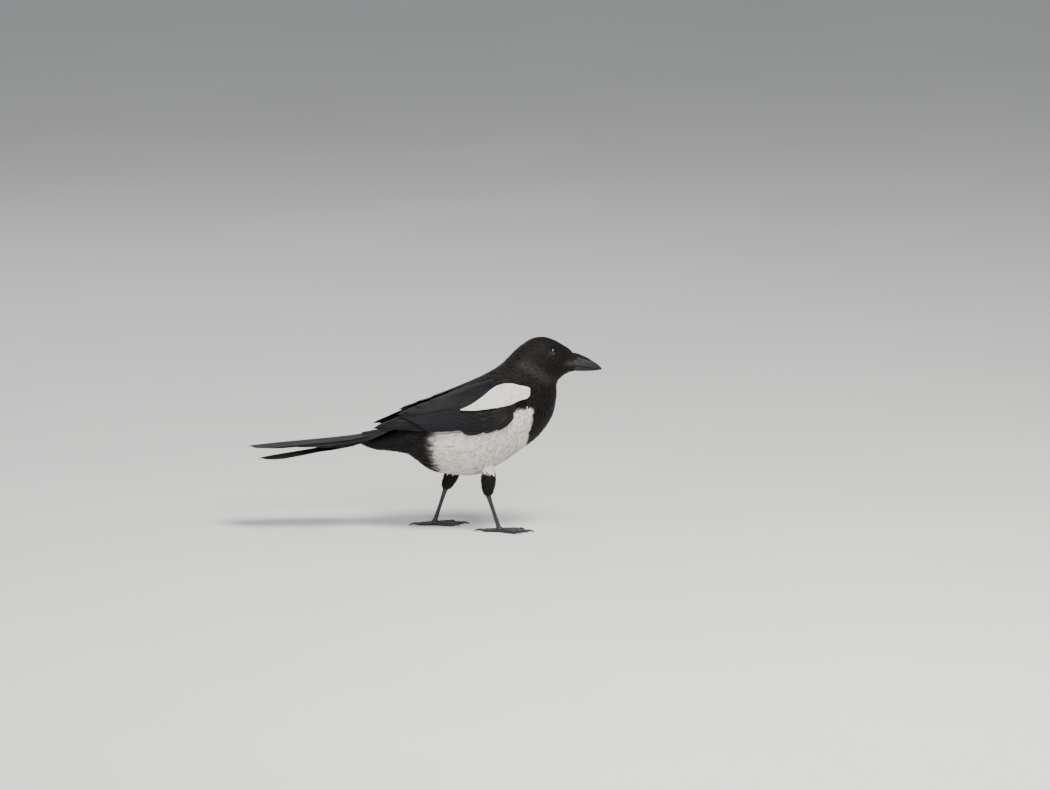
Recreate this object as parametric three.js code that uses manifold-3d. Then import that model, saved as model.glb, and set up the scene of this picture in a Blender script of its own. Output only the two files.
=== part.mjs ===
// A Eurasian magpie at life size, standing in mid stride with its wings folded.
// Millimetres: +X towards the bill, +Y to the bird's left, +Z up, with the floor at Z = 0.
import * as THREE from "three";
import { mergeVertices } from "three/addons/utils/BufferGeometryUtils.js";
import Module from "manifold-3d";

const wasm = await Module();
wasm.setup();

// Driving sizes
const gap = 0.3; // clearance between neighbouring pieces
const plumageSquareness = 0.93; // 1 gives elliptical sections, less gives fuller ones
const bodySides = 24;
const ringsPerStation = 2;

// Sections of the body from the under-tail coverts to the bill, read off the side view:
// top x, top z, bottom x, bottom z, half width.
const bodyStations = [
  [-114, 98.5, -117.5, 91.5, 6],
  [-98, 100.5, -101, 85.5, 12],
  [-79, 108, -83, 83.5, 18.5],
  [-60.5, 120, -64.5, 79.5, 26],
  [-41.5, 134, -41.5, 63.5, 32],
  [-21, 146, -18.5, 59, 36.5],
  [2, 158, 6, 58.5, 39],
  [20, 167, 30, 69.5, 39],
  [33.5, 176, 52, 84, 37],
  [42.5, 185, 73, 101, 34],
  [51, 193.5, 86.5, 121, 29.5],
  [59.5, 200, 91, 141, 25],
  [68, 203.8, 91.5, 156, 20.5],
  [78, 204.5, 97, 163, 18],
  [88.5, 201.3, 102, 166.3, 15.8],
  [98, 196, 106.5, 168, 12.3],
  [107, 190.3, 112, 168.8, 8.6],
];

// Sections of the surface that the folded wing lies on, from the shoulder to the wing tips.
const foldStations = [
  [51, 193.5, 86.5, 121, 30.5],
  [42.5, 185, 73, 101, 34.8],
  [33.5, 176, 52, 84, 38],
  [20, 167, 30, 69.5, 40],
  [2, 158.5, 6, 62, 40.3],
  [-21, 147.5, -18.5, 75, 38.3],
  [-41.5, 139, -41.5, 86, 35],
  [-62, 132, -62, 92, 30.5],
  [-83, 123.5, -83, 98, 25],
  [-104, 115, -104, 101, 19.5],
  [-120, 109.5, -120, 102, 14],
  [-135, 105.5, -135, 102, 9],
];

// Bill
const billTip = 137.3;
const billStations = [
  // x, top z, bottom z, half width
  [103, 188.4, 169, 8],
  [110, 187.2, 168.6, 7],
  [117, 185, 168.4, 6],
  [124, 182, 168.5, 4.9],
  [130, 178.6, 168.8, 3.6],
  [134.5, 175, 169.4, 2.2],
  [billTip, 171.2, 170.2, 0.4],
];
const billSides = 14;
const mouthLine = [
  [97, 177.2],
  [106, 175.4],
  [118, 173.9],
  [129, 172.2],
  [141, 169.2],
];
const mouthCoreHalf = 5; // the slit in the cheek leaves this much of the head whole

// Eye
const eyeCentre = [86.5, 190.6];
const eyeballRadius = 6.2;
const eyeProud = 0.5; // how far the eyeball stands out of the cheek
const lidOpening = 4.1;
const lidThickness = 0.8;
const eyeSides = 12;

// Folded wing. Its core is given in rows from the shoulder back, each with the upper edge, the lower
// edge, the height over the fold surface and the depth inside it. An edge is a place along X and an
// angle down from the top.
const wingRows = [
  [[51, 76], [51, 91], 0.8, 3],
  [[46, 62], [48, 94], 2.2, 4],
  [[35, 44], [36, 96], 2.8, 4],
  [[18, 33], [20, 94], 2.6, 4],
  [[0, 26], [0, 90], 1.9, 4],
  [[-20, 22], [-20, 88], 0.2, 4],
  [[-38, 21], [-37, 88], -0.3, 1.6],
  [[-52, 24], [-50, 82], -0.6, 1.4],
];
const wingCover = 4.4; // the shoulder patch lies this high over the fold surface, clear of the wing

// Outlines of one feather's blade: place along it, share of its full width
const flightShape = [
  [0, 0.35],
  [0.3, 0.9],
  [0.8, 1],
  [0.94, 0.66],
  [1, 0.18],
];
const covertShape = [
  [0, 0.4],
  [0.45, 1],
  [0.82, 0.86],
  [1, 0.2],
];
const bladeThickness = 0.5;

// Tiers of the folded wing. Roots and tips run from the first feather to the last, as a place along X
// and an angle down from the top. Lift is the height over the fold surface at the root and the tip,
// and tilt raises the lower edge of each feather over the next. Sink sets each one under the one before.
const wingTiers = [
  {
    name: "primaries", count: 6, shape: flightShape, halfWidth: 5, lift: [0.3, 0.3], tilt: 0.06,
    sink: 0.58, roots: [[-8, 70], [0, 84]], tips: [[-86, 58], [-104, 74], [-70, 93]],
  },
  {
    name: "secondaries", count: 5, shape: flightShape, halfWidth: 7.4, lift: [1.9, 1.7], tilt: 0.13,
    roots: [[4, 46], [6, 79]], tips: [[-74, 40], [-54, 83]],
  },
  {
    name: "tertials", count: 3, shape: flightShape, halfWidth: 8.4, lift: [2.3, 2.2], tilt: 0.12,
    roots: [[14, 33], [8, 50]], tips: [[-46, 21], [-70, 33]],
  },
  {
    name: "alula", count: 2, shape: covertShape, halfWidth: 4.2, lift: [2.2, 1.9], tilt: 0.1,
    roots: [[34, 88], [32, 93]], tips: [[6, 85], [12, 91.5]],
  },
  {
    name: "primary coverts", count: 3, shape: covertShape, halfWidth: 4.8, lift: [2, 1.5], tilt: 0.12,
    roots: [[14, 82], [20, 89]], tips: [[-30, 80], [-12, 88]],
  },
  {
    name: "greater coverts", count: 5, shape: covertShape, halfWidth: 6.8, lift: [2.4, 2.3], tilt: 0.14,
    roots: [[24, 38], [28, 84]], tips: [[-20, 30], [-10, 79]],
  },
  {
    name: "median coverts", count: 4, shape: covertShape, halfWidth: 6.8, lift: [2.8, 2.9], tilt: 0.14,
    roots: [[40, 62], [42, 88]], tips: [[10, 58], [14, 84]],
  },
];

// White shoulder patch: its full outline, in rows like the wing's, and its feathers
const scapularRows = [
  [[64.5, 84], [64, 90], 3],
  [[59, 76], [58, 88], 4.8],
  [[52, 67], [51, 84.5], 5.4],
  [[44, 57], [42, 80.5], 5.6],
  [[35, 48], [33, 75.5], 5.6],
  [[25, 46], [24, 70.5], 5.5],
  [[15.5, 46.5], [14, 67], 5.4],
  [[3, 51], [2, 63], 5.2],
  [[-9.5, 57], [-9.5, 59.5], 5],
];
const scapularCore = 0.9; // share of the outline's width that the core fills, under the feathers
const scapularTiers = [
  {
    name: "long scapulars", count: 4, shape: covertShape, halfWidth: 4.6, lift: [5.3, 5.3], tilt: 0.08,
    roots: [[26, 54], [32, 68]], tips: [[-9.5, 58], [4, 59.5], [18, 64]],
  },
  {
    name: "short scapulars", count: 4, shape: covertShape, halfWidth: 5.2, lift: [5.8, 6.1], tilt: 0.08,
    roots: [[46, 64], [52, 79]], tips: [[21, 54], [36, 70]],
  },
];

// Tail: its core as x, middle z, half width and thickness, and the line that its feathers lie along
const tailCoreRows = [
  [-74, 110.5, 9, 5],
  [-86, 107.2, 13, 8],
  [-97, 104.4, 15, 9],
  [-106, 102.6, 13, 6.5],
];
const tailLine = [
  [-84, 107.6],
  [-110, 102.2],
  [-134, 98.8],
  [-170, 95.2],
  [-205, 91.8],
  [-234, 88.6],
];
const rectrices = {
  pairs: 6, thickness: 0.5, step: 1.2, // each pair lies this much under the one before
  halfWidth: [12.4, 11.4], // of the middle pair and the outer pair
  reach: [1, 0.5], // share of the full length
  spread: [3.2, 17], // distance from the middle line at mid length
  droop: 0.05, // how far each blade falls away outwards
};
// One feather of the near side hangs below the others, as the place in its side's order, and by how much.
const loose = { side: -1, pair: 2, fall: 7.5, reach: 0.92 };

// Legs. The right foot is in front and the left foot trails.
const legSides = 8;
const toeSides = 6;
const scutes = 7; // plates down the front of each shank
const scuteStep = 0.12; // how far each plate stands out, in mm
const ankleHeight = 40;
const hubHeight = 8.5;
const legs = {
  right: { side: -1, hip: [19.5, 21], ankle: [19, 20], foot: [31, 21.5], heading: -6 },
  left: { side: 1, hip: [-15, 20.5], ankle: [-26, 19.5], foot: [-38, 21], heading: 8 },
};
const thighTop = 74;
const toeRadius = 2.3;
const toeSink = 0.35; // how much of the sole is pressed flat
// Toe name, direction from straight ahead in degrees, length, claw length
const toes = [
  ["inner", -30, 21, 7.5],
  ["middle", 0, 29, 8.5],
  ["outer", 29, 22, 7],
  ["hind", 180, 17, 10.5],
];

// Colours and finishes
const finish = (color, roughness = 0.6, metalness = 0) =>
  new THREE.MeshStandardMaterial({ color, roughness, metalness });
const finishes = {
  black: finish(0x14130f, 0.55),
  brownBlack: finish(0x2a2420, 0.6),
  wingBlack: finish(0x10131a, 0.4),
  tailBronze: finish(0x2b3028, 0.35),
  white: finish(0xf1ece0, 0.8),
  bill: finish(0x1c1c1e, 0.3),
  eye: finish(0x120c08, 0.05),
  leg: finish(0x121212, 0.5),
};

const magpie = new THREE.Group();

// A uniform Catmull-Rom curve through rows of numbers, at station s.
function through(rows, s) {
  const last = rows.length - 1;
  const i = Math.min(Math.max(Math.floor(s), 0), last - 1);
  const t = s - i;
  const row = (k) => rows[Math.min(Math.max(k, 0), last)];
  const [before, start, end, after] = [i - 1, i, i + 1, i + 2].map(row);
  return start.map((p, k) => {
    const a = 2 * p;
    const b = end[k] - before[k];
    const c = 2 * before[k] - 5 * p + 4 * end[k] - after[k];
    const d = 3 * p - before[k] - 3 * end[k] + after[k];
    return (a + t * (b + t * (c + t * d))) / 2;
  });
}

const mix = (a, b, t) => a + (b - a) * t;
const ease = (t) => {
  const u = Math.min(Math.max(t, 0), 1);
  return u * u * (3 - 2 * u);
};
const degrees = Math.PI / 180;

// A point on a lofted surface: angle 0 is the top line, a quarter turn is the widest line.
function onLoft(stations, s, angle, side, grow = 0) {
  const [topX, topZ, bottomX, bottomZ, half] = through(stations, s);
  const rise = new THREE.Vector3(topX - bottomX, 0, topZ - bottomZ);
  const height = rise.length() / 2;
  const power = (v) => Math.sign(v) * Math.abs(v) ** plumageSquareness;
  return new THREE.Vector3((topX + bottomX) / 2, 0, (topZ + bottomZ) / 2)
    .addScaledVector(rise.normalize(), (height + grow) * power(Math.cos(angle)))
    .add(new THREE.Vector3(0, side * (half + grow) * power(Math.sin(angle)), 0));
}

// A closed body through rings of points. Face k of each ring is split the other way where flipped(k) holds.
function loft(rings, flipped = () => false) {
  const sides = rings[0].length;
  const faces = [];
  for (let r = 0; r + 1 < rings.length; r++)
    for (let k = 0; k < sides; k++) {
      const a = r * sides + k;
      const b = r * sides + ((k + 1) % sides);
      if (flipped(k)) faces.push(a, b, a + sides, b, b + sides, a + sides);
      else faces.push(a, b, b + sides, a, b + sides, a + sides);
    }
  const end = (rings.length - 1) * sides;
  for (let k = 1; k + 1 < sides; k++)
    faces.push(0, k + 1, k, end, end + k, end + k + 1);
  const points = rings.flat();
  const build = (order) =>
    new wasm.Manifold(
      new wasm.Mesh({
        numProp: 3,
        vertProperties: new Float32Array(points.flatMap((p) => p.toArray())),
        triVerts: new Uint32Array(order),
      }),
    );
  const made = build(faces);
  if (made.volume() > 0) return made;
  for (let i = 0; i < faces.length; i += 3)
    [faces[i + 1], faces[i + 2]] = [faces[i + 2], faces[i + 1]];
  return build(faces);
}

// A three.js geometry, put in place, as a solid.
function solidOf(geometry, matrix = new THREE.Matrix4()) {
  const bare = geometry.clone().applyMatrix4(matrix);
  bare.deleteAttribute("normal");
  bare.deleteAttribute("uv");
  const merged = mergeVertices(bare, 1e-4);
  return new wasm.Manifold(
    new wasm.Mesh({
      numProp: 3,
      vertProperties: merged.attributes.position.array,
      triVerts: new Uint32Array(merged.index.array),
    }),
  );
}

const placed = (x, y, z) => new THREE.Matrix4().makeTranslation(x, y, z);
const join = (solids) => solids.reduce((all, one) => all.add(one));
const largest = (solid) =>
  solid.decompose().reduce((best, one) => (one.volume() > best.volume() ? one : best));

// Hands a solid over as a named mesh.
function addNode(name, solid, material) {
  const kept = largest(solid);
  const mesh = kept.getMesh();
  const geometry = new THREE.BufferGeometry();
  const position = new Float32Array(mesh.numVert * 3);
  for (let i = 0; i < mesh.numVert; i++)
    position.set(mesh.vertProperties.subarray(i * mesh.numProp, i * mesh.numProp + 3), i * 3);
  geometry.setAttribute("position", new THREE.BufferAttribute(position, 3));
  geometry.setIndex(new THREE.BufferAttribute(new Uint32Array(mesh.triVerts), 1));
  geometry.computeVertexNormals();
  const node = new THREE.Mesh(geometry, material);
  node.name = name;
  magpie.add(node);
  return kept;
}

// Body

function bodyRing(s, grow = 0) {
  const ring = [];
  for (let k = 0; k < bodySides; k++) {
    const angle = (2 * Math.PI * k) / bodySides;
    const side = angle < Math.PI ? 1 : -1;
    const folded = angle < Math.PI ? angle : 2 * Math.PI - angle;
    ring.push(onLoft(bodyStations, s, folded, side, grow));
  }
  return ring;
}

function bodyLoft(grow = 0) {
  const last = bodyStations.length - 1;
  const rings = [];
  for (let i = 0; i <= last * ringsPerStation; i++) rings.push(bodyRing(i / ringsPerStation, grow));
  // Both ends move out by the same growth.
  const shift = (ring, from, by) => {
    const middle = (points) =>
      points.reduce((sum, p) => sum.add(p), new THREE.Vector3()).divideScalar(points.length);
    const way = middle(ring).sub(middle(from)).normalize().multiplyScalar(by);
    ring.forEach((p) => p.add(way));
  };
  shift(rings[0], rings[1], grow);
  shift(rings.at(-1), rings.at(-2), grow);
  return loft(rings);
}

const body = bodyLoft();
const bodyGrown = bodyLoft(gap);

// A thin upright wall along a line drawn on the side view, through the whole width.
function kerf(line, width = gap, halfDepth = 80) {
  const walls = [];
  for (let i = 0; i + 1 < line.length; i++) {
    const [[x0, z0], [x1, z1]] = [line[i], line[i + 1]];
    const length = Math.hypot(x1 - x0, z1 - z0);
    const matrix = placed((x0 + x1) / 2, 0, (z0 + z1) / 2).multiply(
      new THREE.Matrix4().makeRotationY(-Math.atan2(z1 - z0, x1 - x0)),
    );
    walls.push(solidOf(new THREE.BoxGeometry(length + width, 2 * halfDepth, width), matrix));
  }
  return join(walls);
}

// Lines between the body's parts on the side view
const bellyLine = [
  [-24, 50],
  [-38, 66],
  [-43, 84],
  [-38, 100],
  [-24, 110],
  [44, 133],
  [65, 131],
  [64, 112],
  [56, 96],
  [58, 78],
];
const breastBackLine = [
  [44, 133],
  [20, 190],
];
const rumpLine = [
  [-38, 100],
  [-75, 125],
];
const neckBaseLine = [
  [36, 192],
  [62, 150],
  [100, 118],
];
const headLine = [
  [55, 215],
  [80, 172],
  [110, 145],
];

const bodyParts = body
  .subtract(join([bellyLine, breastBackLine, rumpLine, neckBaseLine, headLine].map((l) => kerf(l))))
  .decompose();
const partAt = (x, z) => {
  const probe = solidOf(new THREE.BoxGeometry(1, 1, 1), placed(x, 0, z));
  return bodyParts.find((part) => part.intersect(probe).volume() > 0.5);
};

addNode("belly", partAt(0, 90), finishes.white);
addNode("back", partAt(0, 145), finishes.brownBlack);
addNode("breast", partAt(75, 118), finishes.black);
addNode("rump", partAt(-70, 95), finishes.black);
addNode("neck", partAt(70, 165), finishes.brownBlack);

// Head, eyes and bill

const sphere = (radius, x, y, z) =>
  solidOf(new THREE.SphereGeometry(radius, eyeSides, eyeSides / 2 + 1), placed(x, y, z));

// How far out the body's surface lies at a place on the side view
function cheekAt(x, z) {
  const needle = solidOf(new THREE.BoxGeometry(0.4, 100, 0.4), placed(x, 0, z));
  return body.intersect(needle).boundingBox().max[1];
}

const [eyeX, eyeZ] = eyeCentre;
const eyeY = cheekAt(eyeX, eyeZ) + eyeProud - eyeballRadius;
let headSolid = partAt(95, 185);
for (const side of [-1, 1]) {
  const lids = sphere(eyeballRadius + gap + lidThickness, eyeX, side * eyeY, eyeZ);
  const socket = sphere(eyeballRadius + gap, eyeX, side * eyeY, eyeZ);
  const opening = solidOf(
    new THREE.CylinderGeometry(lidOpening, lidOpening, 12, eyeSides),
    placed(eyeX, side * (eyeY + 8), eyeZ),
  );
  headSolid = headSolid.add(lids).subtract(socket).subtract(opening);
}

const mouth = kerf(mouthLine);
const mouthSlit = mouth.intersect(
  solidOf(new THREE.BoxGeometry(60, 60, 60), placed(mouthLine[0][0] + 30, 0, mouthLine[0][1])),
);
const cheekCore = solidOf(
  new THREE.BoxGeometry(60, 2 * mouthCoreHalf, 60),
  placed(mouthLine[0][0], 0, mouthLine[0][1]),
);
headSolid = headSolid.subtract(mouthSlit.subtract(cheekCore));
addNode("head", headSolid, finishes.black);

const billRings = [];
const billSteps = (billStations.length - 1) * ringsPerStation;
for (let i = 0; i <= billSteps; i++) {
  const [x, top, bottom, half] = through(billStations, i / ringsPerStation);
  const ring = [];
  for (let k = 0; k < billSides; k++) {
    const angle = (2 * Math.PI * k) / billSides;
    ring.push(
      new THREE.Vector3(
        x,
        half * Math.sin(angle),
        (top + bottom) / 2 + ((top - bottom) / 2) * Math.cos(angle),
      ),
    );
  }
  billRings.push(ring);
}
const billHalves = loft(billRings).subtract(bodyGrown).subtract(mouth).decompose();
const byHeight = (a, b) => b.boundingBox().max[2] - a.boundingBox().max[2];
const [billUpper, billLower] = billHalves.sort((a, b) => b.volume() - a.volume()).slice(0, 2).sort(byHeight);
addNode("bill_upper", billUpper, finishes.bill);
addNode("bill_lower", billLower, finishes.bill);

for (const [name, side] of [["right", -1], ["left", 1]])
  addNode(`eye_${name}`, sphere(eyeballRadius, eyeX, side * eyeY, eyeZ), finishes.eye);

// Wings and shoulder patches

// The station on the fold surface at a place along X, at an angle in radians.
function foldStation(x, angle) {
  let front = -0.5;
  let back = foldStations.length - 0.5;
  for (let i = 0; i < 30; i++) {
    const middle = (front + back) / 2;
    if (onLoft(foldStations, middle, angle, 1).x > x) front = middle;
    else back = middle;
  }
  return (front + back) / 2;
}

// A plate that follows the fold surface between two edges, as high as its rows say.
function plate(rows, side, inside, edge = 0) {
  const across = 4;
  const rings = rows.map(([[topX, topAngle], [bottomX, bottomAngle], height, depth = inside]) => {
    const from = [foldStation(topX, topAngle * degrees), topAngle * degrees];
    const to = [foldStation(bottomX, bottomAngle * degrees), bottomAngle * degrees];
    const outer = [];
    const inner = [];
    for (let j = 0; j <= across; j++) {
      const t = j / across;
      const [s, angle] = [0, 1].map((k) => mix(from[k], to[k], t));
      const crown = mix(Math.min(edge, height), height, Math.sqrt(Math.sin(Math.PI * mix(0.06, 0.94, t))));
      outer.push(onLoft(foldStations, s, angle, side, crown));
      inner.unshift(onLoft(foldStations, s, angle, side, -depth));
    }
    return [...outer, ...inner];
  });
  return loft(rings);
}

const farHalf = (side) =>
  solidOf(new THREE.BoxGeometry(600, 200, 400), placed(0, side * (gap / 2 - 100), 100));

// Seeded draws between -1 and 1, so that no two feathers are quite alike
function draws(seed) {
  let state = seed;
  return () => {
    state = (state * 16807) % 2147483647;
    return (state / 2147483647) * 2 - 1;
  };
}

// A flat blade. place(u, v, h) is the point at u along it, v across it and h over its middle.
function blade(place, halfWidth, thickness, shape) {
  const rings = shape.map(([u, wide]) => {
    const w = halfWidth * wide;
    const t = thickness / 2;
    return [place(u, -w, t), place(u, w, t), place(u, w, -t), place(u, -w, -t)];
  });
  return loft(rings, (k) => k === 2);
}

// Blades of one tier over the fold surface
function tier({ count, shape, halfWidth, lift, tilt, roots, tips, sink = 0 }, side, draw) {
  const blades = [];
  for (let i = 0; i < count; i++) {
    const t = i / (count - 1);
    const [rootX, rootAngle] = through(roots, t * (roots.length - 1));
    const [tipX, tipAngle] = through(tips, t * (tips.length - 1));
    const reach = tipX + 1.2 * draw();
    const from = [foldStation(rootX, rootAngle * degrees), rootAngle * degrees];
    const to = [foldStation(reach, tipAngle * degrees), (tipAngle + 0.6 * draw()) * degrees];
    const width = halfWidth * (1 + 0.06 * draw());
    const place = (u, v, h) => {
      const [s, angle] = [0, 1].map((k) => mix(from[k], to[k], u));
      const step = 0.05;
      const arc = onLoft(foldStations, s, angle - step, side).distanceTo(
        onLoft(foldStations, s, angle + step, side),
      );
      const grow = mix(lift[0], lift[1], u) + tilt * v + h - sink * i;
      return onLoft(foldStations, s, angle + (v * 2 * step) / arc, side, grow);
    };
    blades.push(blade(place, width, bladeThickness, shape));
  }
  return blades;
}

const narrowed = (rows, share) =>
  rows.map(([upper, lower, height]) => {
    const pull = (from, to) => from.map((v, k) => mix(v, to[k], (1 - share) / 2));
    return [pull(upper, lower), pull(lower, upper), height];
  });

for (const [name, side] of [["right", -1], ["left", 1]]) {
  const draw = draws(side > 0 ? 11 : 29);
  // The space that the shoulder patch takes over the wing
  const outline = scapularRows.map(([[x0, a0], [x1, a1]], i) => {
    const ahead = i === 0 ? gap : i === scapularRows.length - 1 ? -2 : 0;
    return [[x0 + ahead, a0 - 1.4], [x1 + ahead, a1 + 1.4], 20];
  });
  const patchSpace = plate(outline, side, gap - wingCover, 20);
  const wing = join([
    plate(wingRows, side),
    ...wingTiers.flatMap((row) => tier(row, side, draw)),
  ]);
  addNode(
    `wing_${name}`,
    wing.subtract(bodyGrown).subtract(farHalf(side)).subtract(patchSpace),
    finishes.wingBlack,
  );
  // The space that the wing's core and roots take under the shoulder patch
  const cover = wingRows.map(([[x0, a0], [x1, a1]], i) => {
    const ahead = i === 0 ? gap : 0;
    return [[x0 + ahead, a0 - 0.6], [x1 + ahead, a1 + 0.6], wingCover];
  });
  const patch = join([
    plate(narrowed(scapularRows, scapularCore), side, 6, 0.5),
    ...scapularTiers.flatMap((row) => tier(row, side, draw)),
  ]);
  addNode(
    `scapulars_${name}`,
    patch.subtract(bodyGrown).subtract(plate(cover, side, 8, wingCover)),
    finishes.white,
  );
}

// Tail

const tailRing = ([x, z, half, thick]) => {
  const ring = [];
  for (let k = 0; k < 10; k++) {
    const angle = (2 * Math.PI * k) / 10;
    ring.push(new THREE.Vector3(x, half * Math.sin(angle), z + (thick / 2) * Math.cos(angle)));
  }
  return ring;
};

function tailFeathers() {
  const { pairs, thickness, step, halfWidth, reach, spread, droop } = rectrices;
  const blades = [];
  const draw = draws(7);
  for (const side of [-1, 1])
    for (let pair = 0; pair < pairs; pair++) {
      const t = pair / (pairs - 1);
      const hangs = side === loose.side && pair === loose.pair;
      const layer = hangs ? pairs - 1 : side === loose.side && pair > loose.pair ? pair - 1 : pair;
      const depth = step * (layer + (side > 0 ? 0.5 : 0));
      const length = (hangs ? loose.reach : mix(reach[0], reach[1], t ** 1.15)) + 0.008 * draw();
      const place = (u, v, h) => {
        const along = u * length;
        const [x, z] = through(tailLine, along * (tailLine.length - 1));
        const out = mix(spread[0], spread[1], t) * Math.min(1, 0.35 + 1.4 * along) * (1 - 0.25 * along);
        const fall = hangs ? loose.fall * ease((along - 0.2) / 0.8) : 0;
        const y = side * (out + v);
        const under = depth * ease(along / 0.3);
        return new THREE.Vector3(x, y, z - under + h - fall - droop * Math.abs(y));
      };
      blades.push(blade(place, mix(halfWidth[0], halfWidth[1], t), thickness, flightShape));
    }
  return blades;
}
const tail = join([loft(tailCoreRows.map(tailRing)), ...tailFeathers()]);
addNode("tail", tail.subtract(bodyGrown), finishes.tailBronze);

// Legs

// A tube through points, with a radius at each.
function tube(points, radii, sides) {
  const rings = points.map((point, i) => {
    const ahead = points[Math.min(i + 1, points.length - 1)];
    const way = ahead.clone().sub(points[Math.max(i - 1, 0)]).normalize();
    const across = new THREE.Vector3(-way.y, way.x, 0);
    if (across.length() < 0.3) across.set(0, 1, 0);
    const one = across.normalize();
    const two = way.clone().cross(one).normalize();
    one.crossVectors(two, way).normalize();
    const ring = [];
    for (let k = 0; k < sides; k++) {
      const angle = (2 * Math.PI * (k + 0.5)) / sides;
      ring.push(
        point
          .clone()
          .addScaledVector(one, radii[i] * Math.cos(angle))
          .addScaledVector(two, radii[i] * Math.sin(angle)),
      );
    }
    return ring;
  });
  return loft(rings);
}

const floor = solidOf(new THREE.BoxGeometry(600, 300, 40), placed(0, 0, -20));
const slab = (z) => solidOf(new THREE.BoxGeometry(400, 200, gap), placed(0, 0, z));

for (const [name, leg] of Object.entries(legs)) {
  const at = ([x, y], z) => new THREE.Vector3(x, leg.side * y, z);
  const centre = at(leg.foot, toeRadius + 0.6);
  const between = (from, to, t, z) => at(from.map((v, i) => mix(v, to[i], t)), z);
  const points = [
    at(leg.hip, thighTop),
    between(leg.hip, leg.ankle, 0.35, mix(thighTop, ankleHeight, 0.5)),
    between(leg.hip, leg.ankle, 0.85, mix(thighTop, ankleHeight, 0.88)),
    at(leg.ankle, ankleHeight - 1),
  ];
  const radii = [9.5, 8.2, 6.2, 3.5];
  for (let i = 0; i < scutes; i++)
    for (const [share, stand] of [[0.05, scuteStep], [0.92, -scuteStep]]) {
      const t = mix(0.12, 0.88, (i + share) / scutes);
      points.push(between(leg.ankle, leg.foot, t, mix(ankleHeight, 0, t)));
      radii.push(mix(2.3, 1.9, Math.sin(Math.PI * t)) + stand);
    }
  points.push(centre);
  radii.push(2.8);
  const limb = tube(points, radii, legSides);
  const hub = solidOf(
    new THREE.SphereGeometry(3.9, 12, 8),
    new THREE.Matrix4().makeTranslation(...centre.toArray()).scale(new THREE.Vector3(1.15, 1, 0.75)),
  );
  const pieces = [hub];
  const claws = [];
  for (const [toe, turn, length, clawLength] of toes) {
    const heading = (leg.heading + leg.side * -turn) * degrees;
    const way = new THREE.Vector3(Math.cos(heading), Math.sin(heading), 0);
    const low = toeRadius - toeSink;
    const along = (d, z) => centre.clone().addScaledVector(way, d).setZ(z);
    const path = [along(0, low + 0.4), along(0.3 * length, low + 0.3), along(0.55 * length, low)];
    path.push(along(0.8 * length, low + 0.15), along(length, low));
    const radii = [1.12, 1, 0.98, 0.84, 0.76].map((k) => k * toeRadius);
    pieces.push(tube(path, radii, toeSides));
    const rise = (d, z) => along(length + gap + d * clawLength, low + z);
    claws.push([
      `claw_${name}_${toe}`,
      tube([rise(0, 0), rise(0.35, 0.5), rise(0.72, 0), rise(1, -1.35)], [1.45, 1.2, 0.8, 0.3], 6),
    ]);
  }
  const foot = join(pieces).subtract(floor);
  const parts = limb
    .subtract(bodyGrown)
    .subtract(slab(ankleHeight))
    .subtract(slab(hubHeight))
    .decompose()
    .sort(byHeight);
  const whole = parts.filter((part) => part.volume() > 5);
  addNode(`thigh_${name}`, whole[0], finishes.black);
  addNode(`shank_${name}`, whole[1], finishes.leg);
  addNode(`foot_${name}`, whole[2].add(foot).subtract(floor), finishes.leg);
  for (const [clawName, claw] of claws) addNode(clawName, claw.subtract(floor), finishes.leg);
}

// The origin goes to the middle of the footprint, on the floor.
const box = new THREE.Box3().setFromObject(magpie);
const middle = box.getCenter(new THREE.Vector3());
magpie.position.set(-middle.x, -middle.y, -box.min.z);

export default magpie;
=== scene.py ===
import math

import bpy
import numpy as np
from mathutils import Matrix, Vector


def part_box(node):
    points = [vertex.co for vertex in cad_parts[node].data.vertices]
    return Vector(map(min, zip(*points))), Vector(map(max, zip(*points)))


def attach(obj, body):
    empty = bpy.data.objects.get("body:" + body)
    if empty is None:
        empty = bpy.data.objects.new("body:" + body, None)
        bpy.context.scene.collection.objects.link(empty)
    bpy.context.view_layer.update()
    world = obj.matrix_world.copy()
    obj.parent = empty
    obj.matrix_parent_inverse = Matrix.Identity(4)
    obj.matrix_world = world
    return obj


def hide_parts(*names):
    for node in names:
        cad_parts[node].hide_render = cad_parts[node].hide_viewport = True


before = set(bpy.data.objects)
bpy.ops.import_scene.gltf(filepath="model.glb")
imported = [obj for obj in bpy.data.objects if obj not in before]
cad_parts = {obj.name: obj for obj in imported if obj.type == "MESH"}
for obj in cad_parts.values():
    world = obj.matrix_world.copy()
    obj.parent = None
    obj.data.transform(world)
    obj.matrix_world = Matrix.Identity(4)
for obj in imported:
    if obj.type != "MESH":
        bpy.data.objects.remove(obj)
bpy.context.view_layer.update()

mm = 0.001

# The bird is drawn in millimetres from a point under its breast. The near eye says where that point is.
eyeLow, eyeHigh = (np.array(corner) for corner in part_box("eye_right"))
eyeMiddle = (eyeLow + eyeHigh) / 2
drawnEye = {"x": 86.5, "z": 190.6}
shift = np.array([eyeMiddle[0] - drawnEye["x"] * mm, 0.0, eyeMiddle[2] - drawnEye["z"] * mm])
eyeSide = abs(eyeMiddle[1]) / mm
eyeRadius = (eyeHigh[2] - eyeLow[2]) / 2 / mm


def place(points):
    return np.asarray(points, dtype=float) * mm + shift


flanks = {"right": -1, "left": 1}


# Camera, floor and light

photo = {
    "width": 1050, "height": 790,
    "floorRow": 529, "zeroColumn": 470,   # pixels of the drawing's own zero point
    "pixel": 1.053,                       # millimetres that one pixel spans at the bird
    "elevation": 9.0, "distance": 8.0,    # degrees, metres
}


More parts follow.
